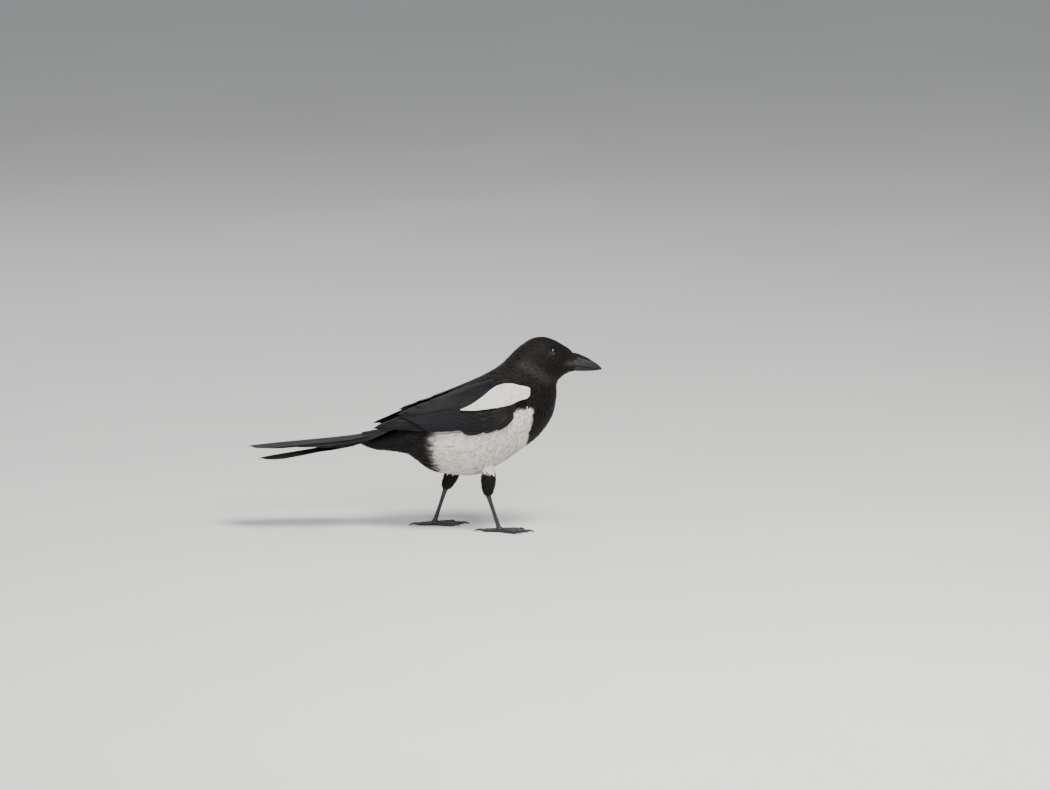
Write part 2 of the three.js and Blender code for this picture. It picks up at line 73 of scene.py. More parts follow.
def addCamera():
    tilt = math.radians(photo["elevation"])
    across = (photo["width"] / 2 - photo["zeroColumn"]) * photo["pixel"]
    up = (photo["floorRow"] - photo["height"] / 2) * photo["pixel"] / math.cos(tilt)
    target = Vector(place([across, 0, up]))
    data = bpy.data.cameras.new("camera")
    data.sensor_width = 36
    data.lens = 36 * photo["distance"] / (photo["width"] * photo["pixel"] * mm)
    camera = bpy.data.objects.new("camera", data)
    camera.location = target + photo["distance"] * Vector((0, -math.cos(tilt), math.sin(tilt)))
    camera.rotation_euler = (math.pi / 2 - tilt, 0, 0)
    bpy.context.scene.collection.objects.link(camera)
    bpy.context.scene.camera = camera


lights = [   # name, place in metres, size, power, colour
    ("key", (0.7, -1.0, 2.3), 0.9, 94, (1.0, 0.965, 0.91)),
    ("catch", (0.5, -1.8, 1.2), 0.44, 23, (1.0, 0.98, 0.95)),     # the spark in the near eye
    ("fill", (-1.8, -1.4, 1.0), 2.2, 12, (0.9, 0.95, 1.0)),
    ("back", (-0.6, 1.8, 1.8), 1.6, 14, (0.95, 0.98, 1.0)),
]


def addLights():
    for name, spot, size, power, colour in lights:
        data = bpy.data.lights.new(name, "AREA")
        data.size = size
        data.energy = power
        data.color = colour
        light = bpy.data.objects.new(name, data)
        light.location = spot
        light.rotation_euler = (Vector((0.05, 0, 0.12)) - Vector(spot)).to_track_quat("-Z", "Y").to_euler()
        bpy.context.scene.collection.objects.link(light)
    world = bpy.data.worlds.new("studio")
    world.use_nodes = True
    world.node_tree.nodes["Background"].inputs["Color"].default_value = (0.86, 0.89, 0.93, 1)
    world.node_tree.nodes["Background"].inputs["Strength"].default_value = 0.38
    bpy.context.scene.world = world


# Shapes

squareness = 0.93   # as in the solids
bodyStations = [    # top x, top z, bottom x, bottom z, half width, from the under-tail coverts to the bill
    [-114, 98.5, -117.5, 91.5, 6],
    [-98, 100.5, -101, 85.5, 12],
    [-79, 108, -83, 83.5, 18.5],
    [-60.5, 120, -64.5, 79.5, 26],
    [-41.5, 134, -41.5, 63.5, 32],
    [-21, 146, -18.5, 59, 36.5],
    [2, 158, 6, 58.5, 39],
    [20, 167, 30, 69.5, 39],
    [33.5, 176, 52, 84, 37],
    [42.5, 185, 73, 101, 34],
    [51, 193.5, 86.5, 121, 29.5],
    [59.5, 200, 91, 141, 25],
    [68, 203.8, 91.5, 156, 20.5],
    [78, 204.5, 97, 163, 18],
    [88.5, 201.3, 102, 166.3, 15.8],
    [98, 196, 106.5, 168, 12.3],
    [107, 190.3, 112, 168.8, 8.6],
]
foldStations = [    # the surface that the folded wings lie on, from the shoulder to the wing tips
    [51, 193.5, 86.5, 121, 30.5],
    [42.5, 185, 73, 101, 34.8],
    [33.5, 176, 52, 84, 38],
    [20, 167, 30, 69.5, 40],
    [2, 158.5, 6, 62, 40.3],
    [-21, 147.5, -18.5, 75, 38.3],
    [-41.5, 139, -41.5, 86, 35],
    [-62, 132, -62, 92, 30.5],
    [-83, 123.5, -83, 98, 25],
    [-104, 115, -104, 101, 19.5],
    [-120, 109.5, -120, 102, 14],
    [-135, 105.5, -135, 102, 9],
]


def through(rows, s):
    # A smooth curve through rows of numbers
    rows = np.asarray(rows, dtype=float)
    last = len(rows) - 1
    i = np.clip(np.floor(s).astype(int), 0, last - 1)
    t = (s - i)[..., None]
    before, start, end, after = (rows[np.clip(i + k, 0, last)] for k in (-1, 0, 1, 2))
    bend = 2 * before - 5 * start + 4 * end - after
    twist = 3 * start - before - 3 * end + after
    return start + t * ((end - before) + t * (bend + t * twist)) / 2


def onLoft(rows, s, angle, grow=0.0):
    # Angle 0 is the top line, a quarter turn is the bird's left flank, and grow is a height over the surface
    topX, topZ, bottomX, bottomZ, half = np.moveaxis(through(rows, s), -1, 0)
    height = np.hypot(topX - bottomX, topZ - bottomZ) / 2
    full = lambda v: np.sign(v) * np.abs(v) ** squareness
    reach = (height + grow) * full(np.cos(angle)) / (2 * height)
    return np.stack([
        (topX + bottomX) / 2 + (topX - bottomX) * reach,
        (half + grow) * full(np.sin(angle)),
        (topZ + bottomZ) / 2 + (topZ - bottomZ) * reach,
    ], axis=-1)


def stationAt(rows, x, angle):
    # The station where the surface is at x, on a line at this angle
    low = np.full(np.shape(x), -0.5)
    high = np.full(np.shape(x), len(rows) - 0.5)
    forward = onLoft(rows, high, angle)[..., 0] > onLoft(rows, low, angle)[..., 0]
    for _ in range(26):
        middle = (low + high) / 2
        ahead = (onLoft(rows, middle, angle)[..., 0] > x) == forward
        high = np.where(ahead, middle, high)
        low = np.where(ahead, low, middle)
    return (low + high) / 2


def grid(rows, columns):
    return np.meshgrid(rows, columns, indexing="ij")


def turns(sides, start=-math.pi):
    # Angles round a full circle
    return np.linspace(start, start + 2 * math.pi, sides, endpoint=False)


def smooth(low, high, v):
    t = np.clip((v - low) / (high - low), 0, 1)
    return t * t * (3 - 2 * t)


# Making pieces

def makeMesh(name, points, faces, uvs=None, attributes=None):
    # points are in the drawing's millimetres. uvs and attributes map names to values for each point.
    mesh = bpy.data.meshes.new(name)
    points = place(points)
    faces = np.asarray(faces)
    sides = faces.shape[1]
    mesh.vertices.add(len(points))
    mesh.vertices.foreach_set("co", points.astype(np.float32).ravel())
    mesh.loops.add(faces.size)
    mesh.loops.foreach_set("vertex_index", faces.astype(np.int32).ravel())
    mesh.polygons.add(len(faces))
    mesh.polygons.foreach_set("loop_start", np.arange(0, faces.size, sides, dtype=np.int32))
    mesh.polygons.foreach_set("use_smooth", np.ones(len(faces), dtype=bool))
    for key, values in (uvs or {}).items():
        layer = mesh.uv_layers.new(name=key)
        layer.data.foreach_set("uv", np.asarray(values, dtype=np.float32)[faces.ravel()].ravel())
    for key, values in (attributes or {}).items():
        layer = mesh.attributes.new(key, "FLOAT", "POINT")
        layer.data.foreach_set("value", np.asarray(values, dtype=np.float32))
    mesh.update()
    mesh.validate()
    return mesh


def addPiece(name, mesh, material, slot, replaced=()):
    piece = bpy.data.objects.new(name, mesh)
    bpy.context.scene.collection.objects.link(piece)
    mesh.materials.clear()
    mesh.materials.append(material)
    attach(piece, "root")
    if replaced:
        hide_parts(*replaced)
    return piece


def gridFaces(rows, columns, wrap=False):
    # Quads between neighbouring points of a grid
    r, c = grid(np.arange(rows - 1), np.arange(columns if wrap else columns - 1))
    a = r * columns + c
    b = r * columns + (c + 1) % columns
    return np.stack([a, b, b + columns, a + columns], axis=-1).reshape(-1, 4)


def outward(points, faces, centre):
    # Turns the faces of a closed shape that is seen from its centre
    quad = points[faces]
    normal = np.cross(quad[:, 2] - quad[:, 0], quad[:, 3] - quad[:, 1])
    inward = np.einsum("ij,ij->i", normal, quad.mean(axis=1) - centre).sum() < 0
    return faces[:, ::-1] if inward else faces


def closed(rings):
    # Rings of points as one tube whose two ends are drawn to a point
    ends = [np.broadcast_to(rings[k].mean(axis=0), rings[:1].shape) for k in (0, -1)]
    points = np.concatenate([ends[0], rings, ends[1]]).reshape(-1, 3)
    faces = gridFaces(len(rings) + 2, rings.shape[1], wrap=True)
    return points, outward(points, faces, points.mean(axis=0))


def merged(parts):
    points, faces, total = [], [], 0
    for one, its in parts:
        points.append(one)
        faces.append(its + total)
        total += len(one)
    return np.concatenate(points), np.concatenate(faces)


def coatMarks(count, tone, wear, soil):
    # What the small feathers' material reads, as one value or one for each
    return {key: np.broadcast_to(value, count)
            for key, value in (("tone", tone), ("wear", wear), ("soil", soil))}


# Materials

def noise(tree, scale, detail=2.0):
    coordinates = tree.nodes.new("ShaderNodeTexCoord")
    node = tree.nodes.new("ShaderNodeTexNoise")
    node.inputs["Scale"].default_value = scale
    node.inputs["Detail"].default_value = detail
    tree.links.new(coordinates.outputs["Object"], node.inputs["Vector"])
    return node.outputs["Fac"]


def newMaterial(name, **values):
    material = bpy.data.materials.new(name)
    material.use_nodes = True
    tree = material.node_tree
    shader = tree.nodes["Principled BSDF"]
    for key, value in values.items():
        shader.inputs[key].default_value = value
    return material, tree, shader


def ramp(tree, factor, stops):
    # Each stop is a position and a colour, or one number for a grey
    node = tree.nodes.new("ShaderNodeValToRGB")
    while len(node.color_ramp.elements) < len(stops):
        node.color_ramp.elements.new(0.5)
    for element, (position, colour) in zip(node.color_ramp.elements, stops):
        element.position = position
        element.color = (*colour, 1) if isinstance(colour, tuple) else (colour, colour, colour, 1)
    tree.links.new(factor, node.inputs["Fac"])
    return node.outputs["Color"]


def operate(tree, operation, a, b):
    node = tree.nodes.new("ShaderNodeMath")
    node.operation = operation
    for socket, value in zip(node.inputs, (a, b)):
        if isinstance(value, (int, float)):
            socket.default_value = value
        else:
            tree.links.new(value, socket)
    return node.outputs[0]


def attribute(tree, name):
    node = tree.nodes.new("ShaderNodeAttribute")
    node.attribute_name = name
    return node.outputs["Fac"]


def mixColour(tree, factor, a, b, mode="MIX"):
    node = tree.nodes.new("ShaderNodeMix")
    node.data_type = "RGBA"
    node.blend_type = mode
    if isinstance(factor, (int, float)):
        node.inputs[0].default_value = factor
    else:
        tree.links.new(factor, node.inputs[0])
    for index, value in ((6, a), (7, b)):
        if isinstance(value, tuple):
            node.inputs[index].default_value = (*value, 1)
        else:
            tree.links.new(value, node.inputs[index])
    return node.outputs[2]


def barbGroup():
    # Barbs that run outwards and forwards from a shaft, the middle line of the UV map "blade"
    group = bpy.data.node_groups.new("feather barbs", "ShaderNodeTree")
    face = group.interface
    for key, value in (("Barbs", 60.0), ("Slant", 0.35), ("Unevenness", 0.35)):
        socket = face.new_socket(name=key, in_out="INPUT", socket_type="NodeSocketFloat")
        socket.default_value = value
    for key in ("Ridges", "Shaft", "Along", "Fringe"):
        face.new_socket(name=key, in_out="OUTPUT", socket_type="NodeSocketFloat")
    start = group.nodes.new("NodeGroupInput")
    end = group.nodes.new("NodeGroupOutput")
    uv = group.nodes.new("ShaderNodeUVMap")
    uv.uv_map = "blade"
    split = group.nodes.new("ShaderNodeSeparateXYZ")
    group.links.new(uv.outputs["UV"], split.inputs[0])
    along, across = split.outputs[0], split.outputs[1]
    centred = operate(group, "SUBTRACT", operate(group, "MULTIPLY", across, 2.0), 1.0)
    fromShaft = operate(group, "ABSOLUTE", centred, 0)
    slant = operate(group, "MULTIPLY", fromShaft, start.outputs["Slant"])
    slanted = operate(group, "SUBTRACT", along, slant)
    wobble = operate(group, "MULTIPLY", noise(group, 900.0), start.outputs["Unevenness"])
    phase = operate(group, "ADD", operate(group, "MULTIPLY", slanted, start.outputs["Barbs"]), wobble)
    wave = operate(group, "SINE", operate(group, "MULTIPLY", phase, 2 * math.pi), 0)
    ridges = operate(group, "ADD", operate(group, "MULTIPLY", wave, 0.5), 0.5)
    shaft = operate(group, "LESS_THAN", fromShaft, 0.045)
    group.links.new(ridges, end.inputs["Ridges"])
    group.links.new(shaft, end.inputs["Shaft"])
    group.links.new(along, end.inputs["Along"])
    side = operate(group, "MULTIPLY", operate(group, "SUBTRACT", fromShaft, 0.82), 6.0)
    tip = operate(group, "MULTIPLY", operate(group, "SUBTRACT", along, 0.93), 14.0)
    edge = operate(group, "MAXIMUM", side, tip)
    group.links.new(operate(group, "MAXIMUM", edge, 0.0), end.inputs["Fringe"])
    return group


barbs = barbGroup()


def addBarbs(tree, count, slant=0.35, unevenness=0.35):
    node = tree.nodes.new("ShaderNodeGroup")
    node.node_tree = barbs
    node.inputs["Barbs"].default_value = count
    node.inputs["Slant"].default_value = slant
    node.inputs["Unevenness"].default_value = unevenness
    return node


def bumpFrom(tree, height, strength, distance):
    node = tree.nodes.new("ShaderNodeBump")
    node.inputs["Strength"].default_value = strength
    node.inputs["Distance"].default_value = distance
    tree.links.new(height, node.inputs["Height"])
    return node.outputs["Normal"]


plumage = {
    "black": (0.0034, 0.0031, 0.0031), "worn": (0.013, 0.0088, 0.0072),
    # the dull colour after white stands for dirt and for painted shade on the lower belly
    "grey": (0.16, 0.152, 0.142), "white": (0.87, 0.84, 0.77), "dirtAndShade": (0.44, 0.41, 0.35),
    "barbs": 26.0, "specular": 0.16,
}


def coatMaterial():
    # Small feathers. tone runs from 0, black, to 1, white, low tones being a painted neck sheen. wear and
    # soil differ from feather to feather, and soil adds painted shade low on the belly.
    material, tree, shader = newMaterial("small feathers", **{"Specular IOR Level": plumage["specular"]})
    pattern = addBarbs(tree, plumage["barbs"], 0.5, 0.6)
    wear = attribute(tree, "wear")
    dark = mixColour(tree, wear, plumage["black"], plumage["worn"])
    # soil turns the white towards the dull colour: dirt, and painted shade low on the belly
    soil = operate(tree, "MULTIPLY", attribute(tree, "soil"), noise(tree, 60.0, 4.0))
    pale = mixColour(tree, soil, plumage["white"], plumage["dirtAndShade"])
    tone = attribute(tree, "tone")
    lower = ramp(tree, tone, [(0.0, 0), (0.5, 1)])
    upper = ramp(tree, tone, [(0.5, 0), (1.0, 1)])
    colour = mixColour(tree, upper, mixColour(tree, lower, dark, plumage["grey"]), pale)
    shade = ramp(tree, pattern.outputs["Ridges"], [(0.0, 0.78), (1.0, 1)])
    tree.links.new(mixColour(tree, 1.0, colour, shade, "MULTIPLY"), shader.inputs["Base Color"])
    rough = ramp(tree, tone, [(0.0, 0.6), (1.0, 0.85)])
    tree.links.new(rough, shader.inputs["Roughness"])
    tree.links.new(bumpFrom(tree, pattern.outputs["Ridges"], 0.35, 0.0002), shader.inputs["Normal"])
    return material


wingFinish = {
    "name": "wing feathers", "barbCount": 90, "roughness": 0.48, "metallic": 0.2,
    "base": (0.0052, 0.0042, 0.0038), "gloss": (0.0062, 0.0055, 0.0155), "fringe": (0.014, 0.0105, 0.0095),
}
tailFinish = {
    "name": "tail feathers", "barbCount": 150, "roughness": 0.45, "metallic": 0.25,
    "base": (0.011, 0.009, 0.009), "gloss": (0.027, 0.027, 0.021), "fringe": (0.02, 0.014, 0.016),
}


def bladeMaterial(name, base, gloss, fringe, barbCount, roughness, metallic):
    # Flight feathers. shade moves each feather between the base and the gloss colour.
    material, tree, shader = newMaterial(name, Roughness=roughness, **{"Specular IOR Level": 0.22})
    pattern = addBarbs(tree, barbCount)
    body = mixColour(tree, attribute(tree, "shade"), base, gloss)
    streak = ramp(tree, noise(tree, 40.0, 3.0), [(0.3, 0.75), (0.7, 1.15)])
    body = mixColour(tree, 1.0, body, streak, "MULTIPLY")
    ridge = ramp(tree, pattern.outputs["Ridges"], [(0.0, 0.72), (1.0, 1)])
    body = mixColour(tree, 1.0, body, ridge, "MULTIPLY")
    body = mixColour(tree, operate(tree, "MINIMUM", pattern.outputs["Fringe"], 0.8), body, fringe)
    quill = tuple(0.6 * v + 0.006 for v in base)
    tree.links.new(mixColour(tree, pattern.outputs["Shaft"], body, quill), shader.inputs["Base Color"])
    lustre = operate(tree, "MULTIPLY", attribute(tree, "shade"), metallic)
    tree.links.new(lustre, shader.inputs["Metallic"])
    tree.links.new(bumpFrom(tree, pattern.outputs["Ridges"], 0.5, 0.0002), shader.inputs["Normal"])
    return material


# Surfaces that feathers grow on. Each takes a station, an angle from the top line and a height over it.

def body(s, angle, grow=0.0):
    return onLoft(bodyStations, s, angle, grow)


def fold(s, angle, grow=0.0):
    return onLoft(foldStations, s, angle, grow)


def onTube(rows, reference):
    # The surface of a round limb through rows of x, y, z and radius. Its angle 0 faces the reference way.
    def surface(s, angle, grow=0.0):
        row = through(rows, s)
        ahead = through(rows, s + 0.05)[..., :3] - through(rows, s - 0.05)[..., :3]
        ahead /= np.linalg.norm(ahead, axis=-1, keepdims=True)
        one = reference - ahead * (ahead @ reference)[..., None]
        one /= np.linalg.norm(one, axis=-1, keepdims=True)
        two = np.cross(ahead, one)
        out = np.cos(angle)[..., None] * one + np.sin(angle)[..., None] * two
        return row[..., :3] + out * (row[..., 3] + grow)[..., None]
    return surface


def slopes(surface, s, angle):
    # Millimetres along and around a surface for one station and one radian
    step = 0.03
    along = (surface(s + step, angle) - surface(s - step, angle)) / (2 * step)
    around = (surface(s, angle + step) - surface(s, angle - step)) / (2 * step)
    return along, around


# Feathers

smallBlade = {
    "along": [0.0, 0.4, 0.72, 0.92, 1.0],
    "width": [0.45, 1.0, 0.96, 0.7, 0.28],
    "across": [-1, 0, 1],
}


def joined(count, rows, columns):
    # Faces of many like grids of points, one after the other
    faces = gridFaces(rows, columns)
    return (faces[None] + (np.arange(count) * rows * columns)[:, None, None]).reshape(-1, 4)


def smallFeathers(surface, s0, a0, size, sense, depth, rise, camber=0.2, loose=0.1, uneven=0.12, seed=1):
    # Small feathers that lie along a surface. size holds each one's length and half width in millimetres.
    # sense is 1 where they point to higher stations. Roots are sunk by depth and tips stand out by rise.
    draw = np.random.default_rng(seed)
    count = len(s0)
    along, around = slopes(surface, s0, a0)
    perStation = np.linalg.norm(along, axis=-1)[:, None, None]
    perRadian = np.linalg.norm(around, axis=-1)[:, None, None]
    u = np.array(smallBlade["along"])
    v = np.array(smallBlade["across"], dtype=float)
    shape = (count, len(u), len(v))
    length = (size[0] * draw.uniform(0.85, 1.15, count))[:, None, None]
    width = (size[1] * draw.uniform(0.88, 1.12, count))[:, None, None]
    turn = draw.normal(0, loose, count)[:, None, None]
    lift = draw.normal(0, uneven, count)[:, None, None]
    depth = np.broadcast_to(depth, count)[:, None, None]
    uu = np.broadcast_to(u[None, :, None], shape)
    vv = np.broadcast_to(v[None, None, :], shape)
    half = width * np.array(smallBlade["width"])[None, :, None]
    frayed = 1 + 0.1 * draw.normal(size=shape) * (uu > 0.5)
    s = s0[:, None, None] + sense * length * (uu - 0.05 * vv * vv) / perStation
    angle = a0[:, None, None] + (half * vv * frayed + turn * length * uu) / perRadian
    grow = -depth + (depth + rise + lift) * uu ** 0.8 - camber * vv * vv * (0.4 + uu)
    points = surface(s, angle, grow).reshape(-1, 3)
    local = np.stack([uu, (vv + 1) / 2], axis=-1).reshape(-1, 2)
    return points, joined(count, len(u), len(v)), local, len(u) * len(v)


def scatter(surface, sLow, sHigh, spacing, keep, seed, tries=90000):
    # Evenly spread roots on a surface, spacing(s, angle) millimetres apart, where keep(points, angle) is true
    draw = np.random.default_rng(seed)
    s = draw.uniform(sLow, sHigh, tries)
    angle = draw.uniform(-math.pi, math.pi, tries)
    along, around = slopes(surface, s, angle)
    gapHere = spacing(s, angle)
    weight = np.linalg.norm(np.cross(along, around), axis=-1) / gapHere ** 2
    points = surface(s, angle)
    chosen = (draw.uniform(0, 1, tries) < weight / weight.max()) & keep(points, angle)
    s, angle, gapHere, points = s[chosen], angle[chosen], gapHere[chosen], points[chosen]
    cells = {}
    kept = []
    steps = [(i, j, k) for i in (-1, 0, 1) for j in (-1, 0, 1) for k in (-1, 0, 1)]
    for index, (point, reach) in enumerate(zip(points.tolist(), gapHere.tolist())):
        cell = tuple(int(c // 3.2) for c in point)
        near = (other for step in steps
                for other in cells.get(tuple(c + d for c, d in zip(cell, step)), ()))
        if all(math.dist(other, point) >= reach for other in near):
            cells.setdefault(cell, []).append(point)
            kept.append(index)
    return s[kept], angle[kept], gapHere[kept]


coat = {
    "faceSpacing": 1.2, "neckSpacing": 1.9, "bodySpacing": 2.7,   # millimetres between feather roots
    "lengthPerSpacing": 3.3, "widthPerSpacing": 0.85,
    "eyeClear": 4.5, "eyeReach": 1.5, "crossing": 0.75,
    # x, z of the bib's hind edge, of the black vent and of the top of the white flank
    "bibLine": [(61, 70), (60.5, 86), (61.5, 97), (66, 117), (68, 133), (68, 150)],
    "ventLine": [(-28, 58), (-33, 66), (-39, 84), (-40, 100), (-36, 120)],
    "flankTop": [(-60, 132), (20, 132), (44, 131), (50, 134), (60, 135), (80, 135)],
    "rumpBand": (-54, -40),
    # x, z of the ends of the painted sheen on the neck and of the bill's corner
    "paintedNeckSheen": [(57, 180), (83, 163)], "gape": (105.5, 177.8),
    # tone and width of the painted neck sheen, and tone and size of the pale grey at the gape
    "paintedSheenTone": 0.055, "paintedSheenWidth": 5.5, "gapeTone": 0.15, "gapeSize": (5, 2.6),
}


def coatSpacing(s, angle):
    return np.interp(s, [0, 3, 8, 10.5, 12.5, 16], [
        2.2, coat["bodySpacing"], coat["bodySpacing"], coat["neckSpacing"], 1.5, coat["faceSpacing"]])


def lineAt(line, v, key=1):
    return np.interp(v, [q[key] for q in line], [q[1 - key] for q in line])


def toneAt(points, angle, jitter=0.0):
    # 0 is black and 1 is white. Low tones add a painted sheen on the side of the neck and the real grey at
    # the bill's corner
    x, y, z = np.moveaxis(points, -1, 0)
    front = smooth(1.2, -1.2, x - lineAt(coat["bibLine"], z) + 0.5 * jitter)
    behind = smooth(-7, 7, x - lineAt(coat["ventLine"], z) + 1.3 * jitter)
    low = smooth(1.5, -1.5, z - lineAt(coat["flankTop"], x, 0) + jitter)
    start, end = coat["rumpBand"]
    band = smooth(start - 3, start + 3, x) * smooth(end + 3, end - 3, x) * smooth(0.95, 0.7, np.abs(angle))
    white = np.maximum(front * behind * low, 0.55 * band)
    (x0, z0), (x1, z1) = coat["paintedNeckSheen"]
    share = np.clip(((x - x0) * (x1 - x0) + (z - z0) * (z1 - z0)) / ((x1 - x0) ** 2 + (z1 - z0) ** 2), 0, 1)
    away = np.hypot(x - x0 - share * (x1 - x0), z - z0 - share * (z1 - z0))
    (gapeX, gapeZ), (wide, high) = coat["gape"], coat["gapeSize"]
    gape = np.hypot((x - gapeX) / wide, (z - gapeZ) / high)
    # painted sheen: a lighter grey band on the side of the neck, added to the real pale grey round the gape
    paintedSheenAndGape = coat["paintedSheenTone"] * np.exp(-(away / coat["paintedSheenWidth"]) ** 2)
    paintedSheenAndGape += coat["gapeTone"] * np.exp(-gape ** 2)
    return np.maximum(white, paintedSheenAndGape * smooth(0.25, 0.6, np.abs(angle)))


hidden = {   # x, and degrees from the top line, of the part of the body that the folded wing covers
    "x": [-60, -38, -20, 0, 18, 35, 46],
    "upper": [22, 23, 26, 30, 38, 50, 70],
    "lower": [84, 84, 86, 87, 90, 92, 88],
}


def underWing(points, angle):
    x = points[..., 0]
    down = np.degrees(np.abs(angle))
    upper, lower = (np.interp(x, hidden["x"], hidden[key]) for key in ("upper", "lower"))
    return (x > hidden["x"][0]) & (x < hidden["x"][-1]) & (down > upper) & (down < lower)


def coatKeep(points, angle):
    x, _, z = np.moveaxis(points, -1, 0)
    ahead = coat["eyeReach"]     # so that the feathers before the eye end at its lids
    forward = (x - drawnEye["x"] - ahead) / (1 + ahead / coat["eyeClear"])
    eye = np.hypot(forward, z - drawnEye["z"]) < coat["eyeClear"]
    return ~eye & ~underWing(points, angle)


def addFeatherPiece(name, surface, s, angle, size, sense, depth, rise, looks, material, slot, seed,
                    marks=None, **manner):
    # One mesh of small feathers. looks holds each feather's tone, wear and soil.
    made = smallFeathers(surface, s, angle, size, sense, depth, rise, seed=seed, **manner)
    points, faces, local, per = made
    root = np.stack([(s - s.min()) / np.ptp(s), (angle + math.pi) / (2 * math.pi)], axis=-1)
    patches = np.repeat(0.01 + 0.97 * root, per, axis=0) + 0.003 * local
    # One mesh of small feathers. looks holds each feather's tone, wear and soil, and soil carries painted
    # shade as well as dirt.
    attributes = {key: np.repeat(values, per) for key, values in looks.items()}
    if marks:
        attributes["tone"] = marks(points, per)
    mesh = makeMesh(name, points, faces, {"OFBake": patches, "blade": local}, attributes)
    print(name, len(s), "feathers,", 2 * len(faces), "triangles")
    return addPiece(name, mesh, material, slot)


def addCoat(material):
    s, angle, gapHere = scatter(body, 0.1, 16.0, coatSpacing, coatKeep, 5)
    points = body(s, angle)
    draw = np.random.default_rng(8)
    jitter = np.random.default_rng(9).normal(size=len(s))
    tone = toneAt(points, angle, jitter)
    mantle = smooth(125, 160, points[:, 2]) * smooth(70, 30, points[:, 0])
    # the third value is dirt that differs from feather to feather, plus painted shade that grows towards the
    # bottom of the belly
    looks = coatMarks(
        len(s), tone, np.clip(0.2 + 0.25 * draw.normal(size=len(s)) + 0.5 * mantle, 0, 1),
        np.clip(0.9 - 0.3 * smooth(70, 110, points[:, 2]) + 0.3 * draw.normal(size=len(s)), 0, 1))
    short = np.interp(s, [0, 10, 12.5, 14.5, 16], [1, 1, 0.85, 0.75, 0.8])
    length = coat["lengthPerSpacing"] * gapHere * short
    width = coat["widthPerSpacing"] * gapHere
    depth = np.interp(s, [0, 8, 12, 16], [1.6, 1.6, 1.0, 0.7])
    white = tone > 0.5
    for seed, (name, chosen, rise) in enumerate([
            ("coat_head", (s > 10.5) & ~white, 0.35), ("coat_black", (s <= 10.5) & ~white, 0.6),
            ("coat_white", white, 0.4)]):
        slot = "white_plumage" if name == "coat_white" else "black_plumage"
        manner = {"camber": 0.07, "uneven": 0.025} if name == "coat_white" else {"uneven": 0.08}
        sink = depth[chosen] * (0.65 if name == "coat_white" else 1.0)
        own = {key: values[chosen] for key, values in looks.items()}

        def marks(made, per, chosen=chosen):
            # a feather across a marking's edge is part black and part white
            root = np.repeat(points[chosen], per, axis=0)
            return toneAt(root + coat["crossing"] * (made - root), np.repeat(angle[chosen], per),
                          np.repeat(jitter[chosen], per))

        addFeatherPiece(name, body, s[chosen], angle[chosen], (length[chosen], width[chosen]), -1,
                        sink, rise, own, material, slot, 20 + seed, marks, **manner)


skinShape = {
    "rings": 120, "sides": 72,
    "at": [0, 8, 12, 16], "sink": [1.7, 1.7, 1.1, 0.8],   # stations, and depth under the solids there
}


def addSkin(material):
    s, angle = grid(np.linspace(0, len(bodyStations) - 1, skinShape["rings"]), turns(skinShape["sides"]))
    points, faces = closed(body(s, angle, -np.interp(s, skinShape["at"], skinShape["sink"])))
    looks = coatMarks(len(points), toneAt(points, np.full(len(points), 2.0)), 0.3, 0.6)
    addPiece("skin", makeMesh("skin", points, faces, None, looks), material, "black_plumage",
             ["belly", "back", "breast", "rump", "neck", "head"])


# Long feathers: wings, shoulder patches and tail

longBlade = {"rows": 14, "columns": 7}
vaneWidths = {   # share of the full half width along the feather
    "flight": ([0, 0.06, 0.3, 0.8, 0.92, 0.98, 1], [0.3, 0.6, 0.92, 1, 0.78, 0.42, 0.06]),
    "covert": ([0, 0.1, 0.45, 0.75, 0.9, 0.98, 1], [0.35, 0.7, 1, 0.96, 0.7, 0.34, 0.06]),
    "tail": ([0, 0.06, 0.3, 0.86, 0.95, 0.99, 1], [0.3, 0.55, 0.9, 1, 0.74, 0.36, 0.06]),
}


def longFeathers(count, spot, halfWidths, shape, outer, seed):
    # spot(i, u, v) gives points for feather i at u along it and v millimetres across it.
    # outer is the share of the width on the side of positive v.
    draw = np.random.default_rng(seed)
    rows, columns = longBlade["rows"], longBlade["columns"]
    u = 1 - (1 - np.linspace(0, 1, rows)) ** 1.25
    across = np.linspace(-1, 1, columns)
    uu, vv = grid(u, across)
    wide = np.interp(uu, *vaneWidths[shape])
    points = []
    for i in range(count):
        share = np.where(vv > 0, 2 * outer, 2 * (1 - outer))
        ragged = 1 + 0.03 * draw.normal(size=uu.shape) * (np.abs(vv) > 0.9)
        v = vv * halfWidths[i] * wide * share * ragged
        points.append(spot(i, uu - 0.03 * vv * vv * (uu > 0.1), v))
    local = np.tile(np.stack([uu, (vv + 1) / 2], axis=-1).reshape(-1, 2), (count, 1))
    return np.concatenate([p.reshape(-1, 3) for p in points]), joined(count, rows, columns), local


def rootPatches(points, local, across=0.012):
    # One patch for each long feather, at its root's place on an unwrap of the body round its long axis
    rows, columns = longBlade["rows"], longBlade["columns"]
    root = points.reshape(-1, rows * columns, 3)[:, columns // 2]
    turn = np.arctan2(root[:, 1], root[:, 2] - 95) / (2 * math.pi) + 0.5
    corner = np.stack([0.01 + 0.96 * (root[:, 0] + 100) / 170, 0.01 + 0.96 * turn], axis=-1)
    return np.repeat(corner, rows * columns, axis=0) + across * local


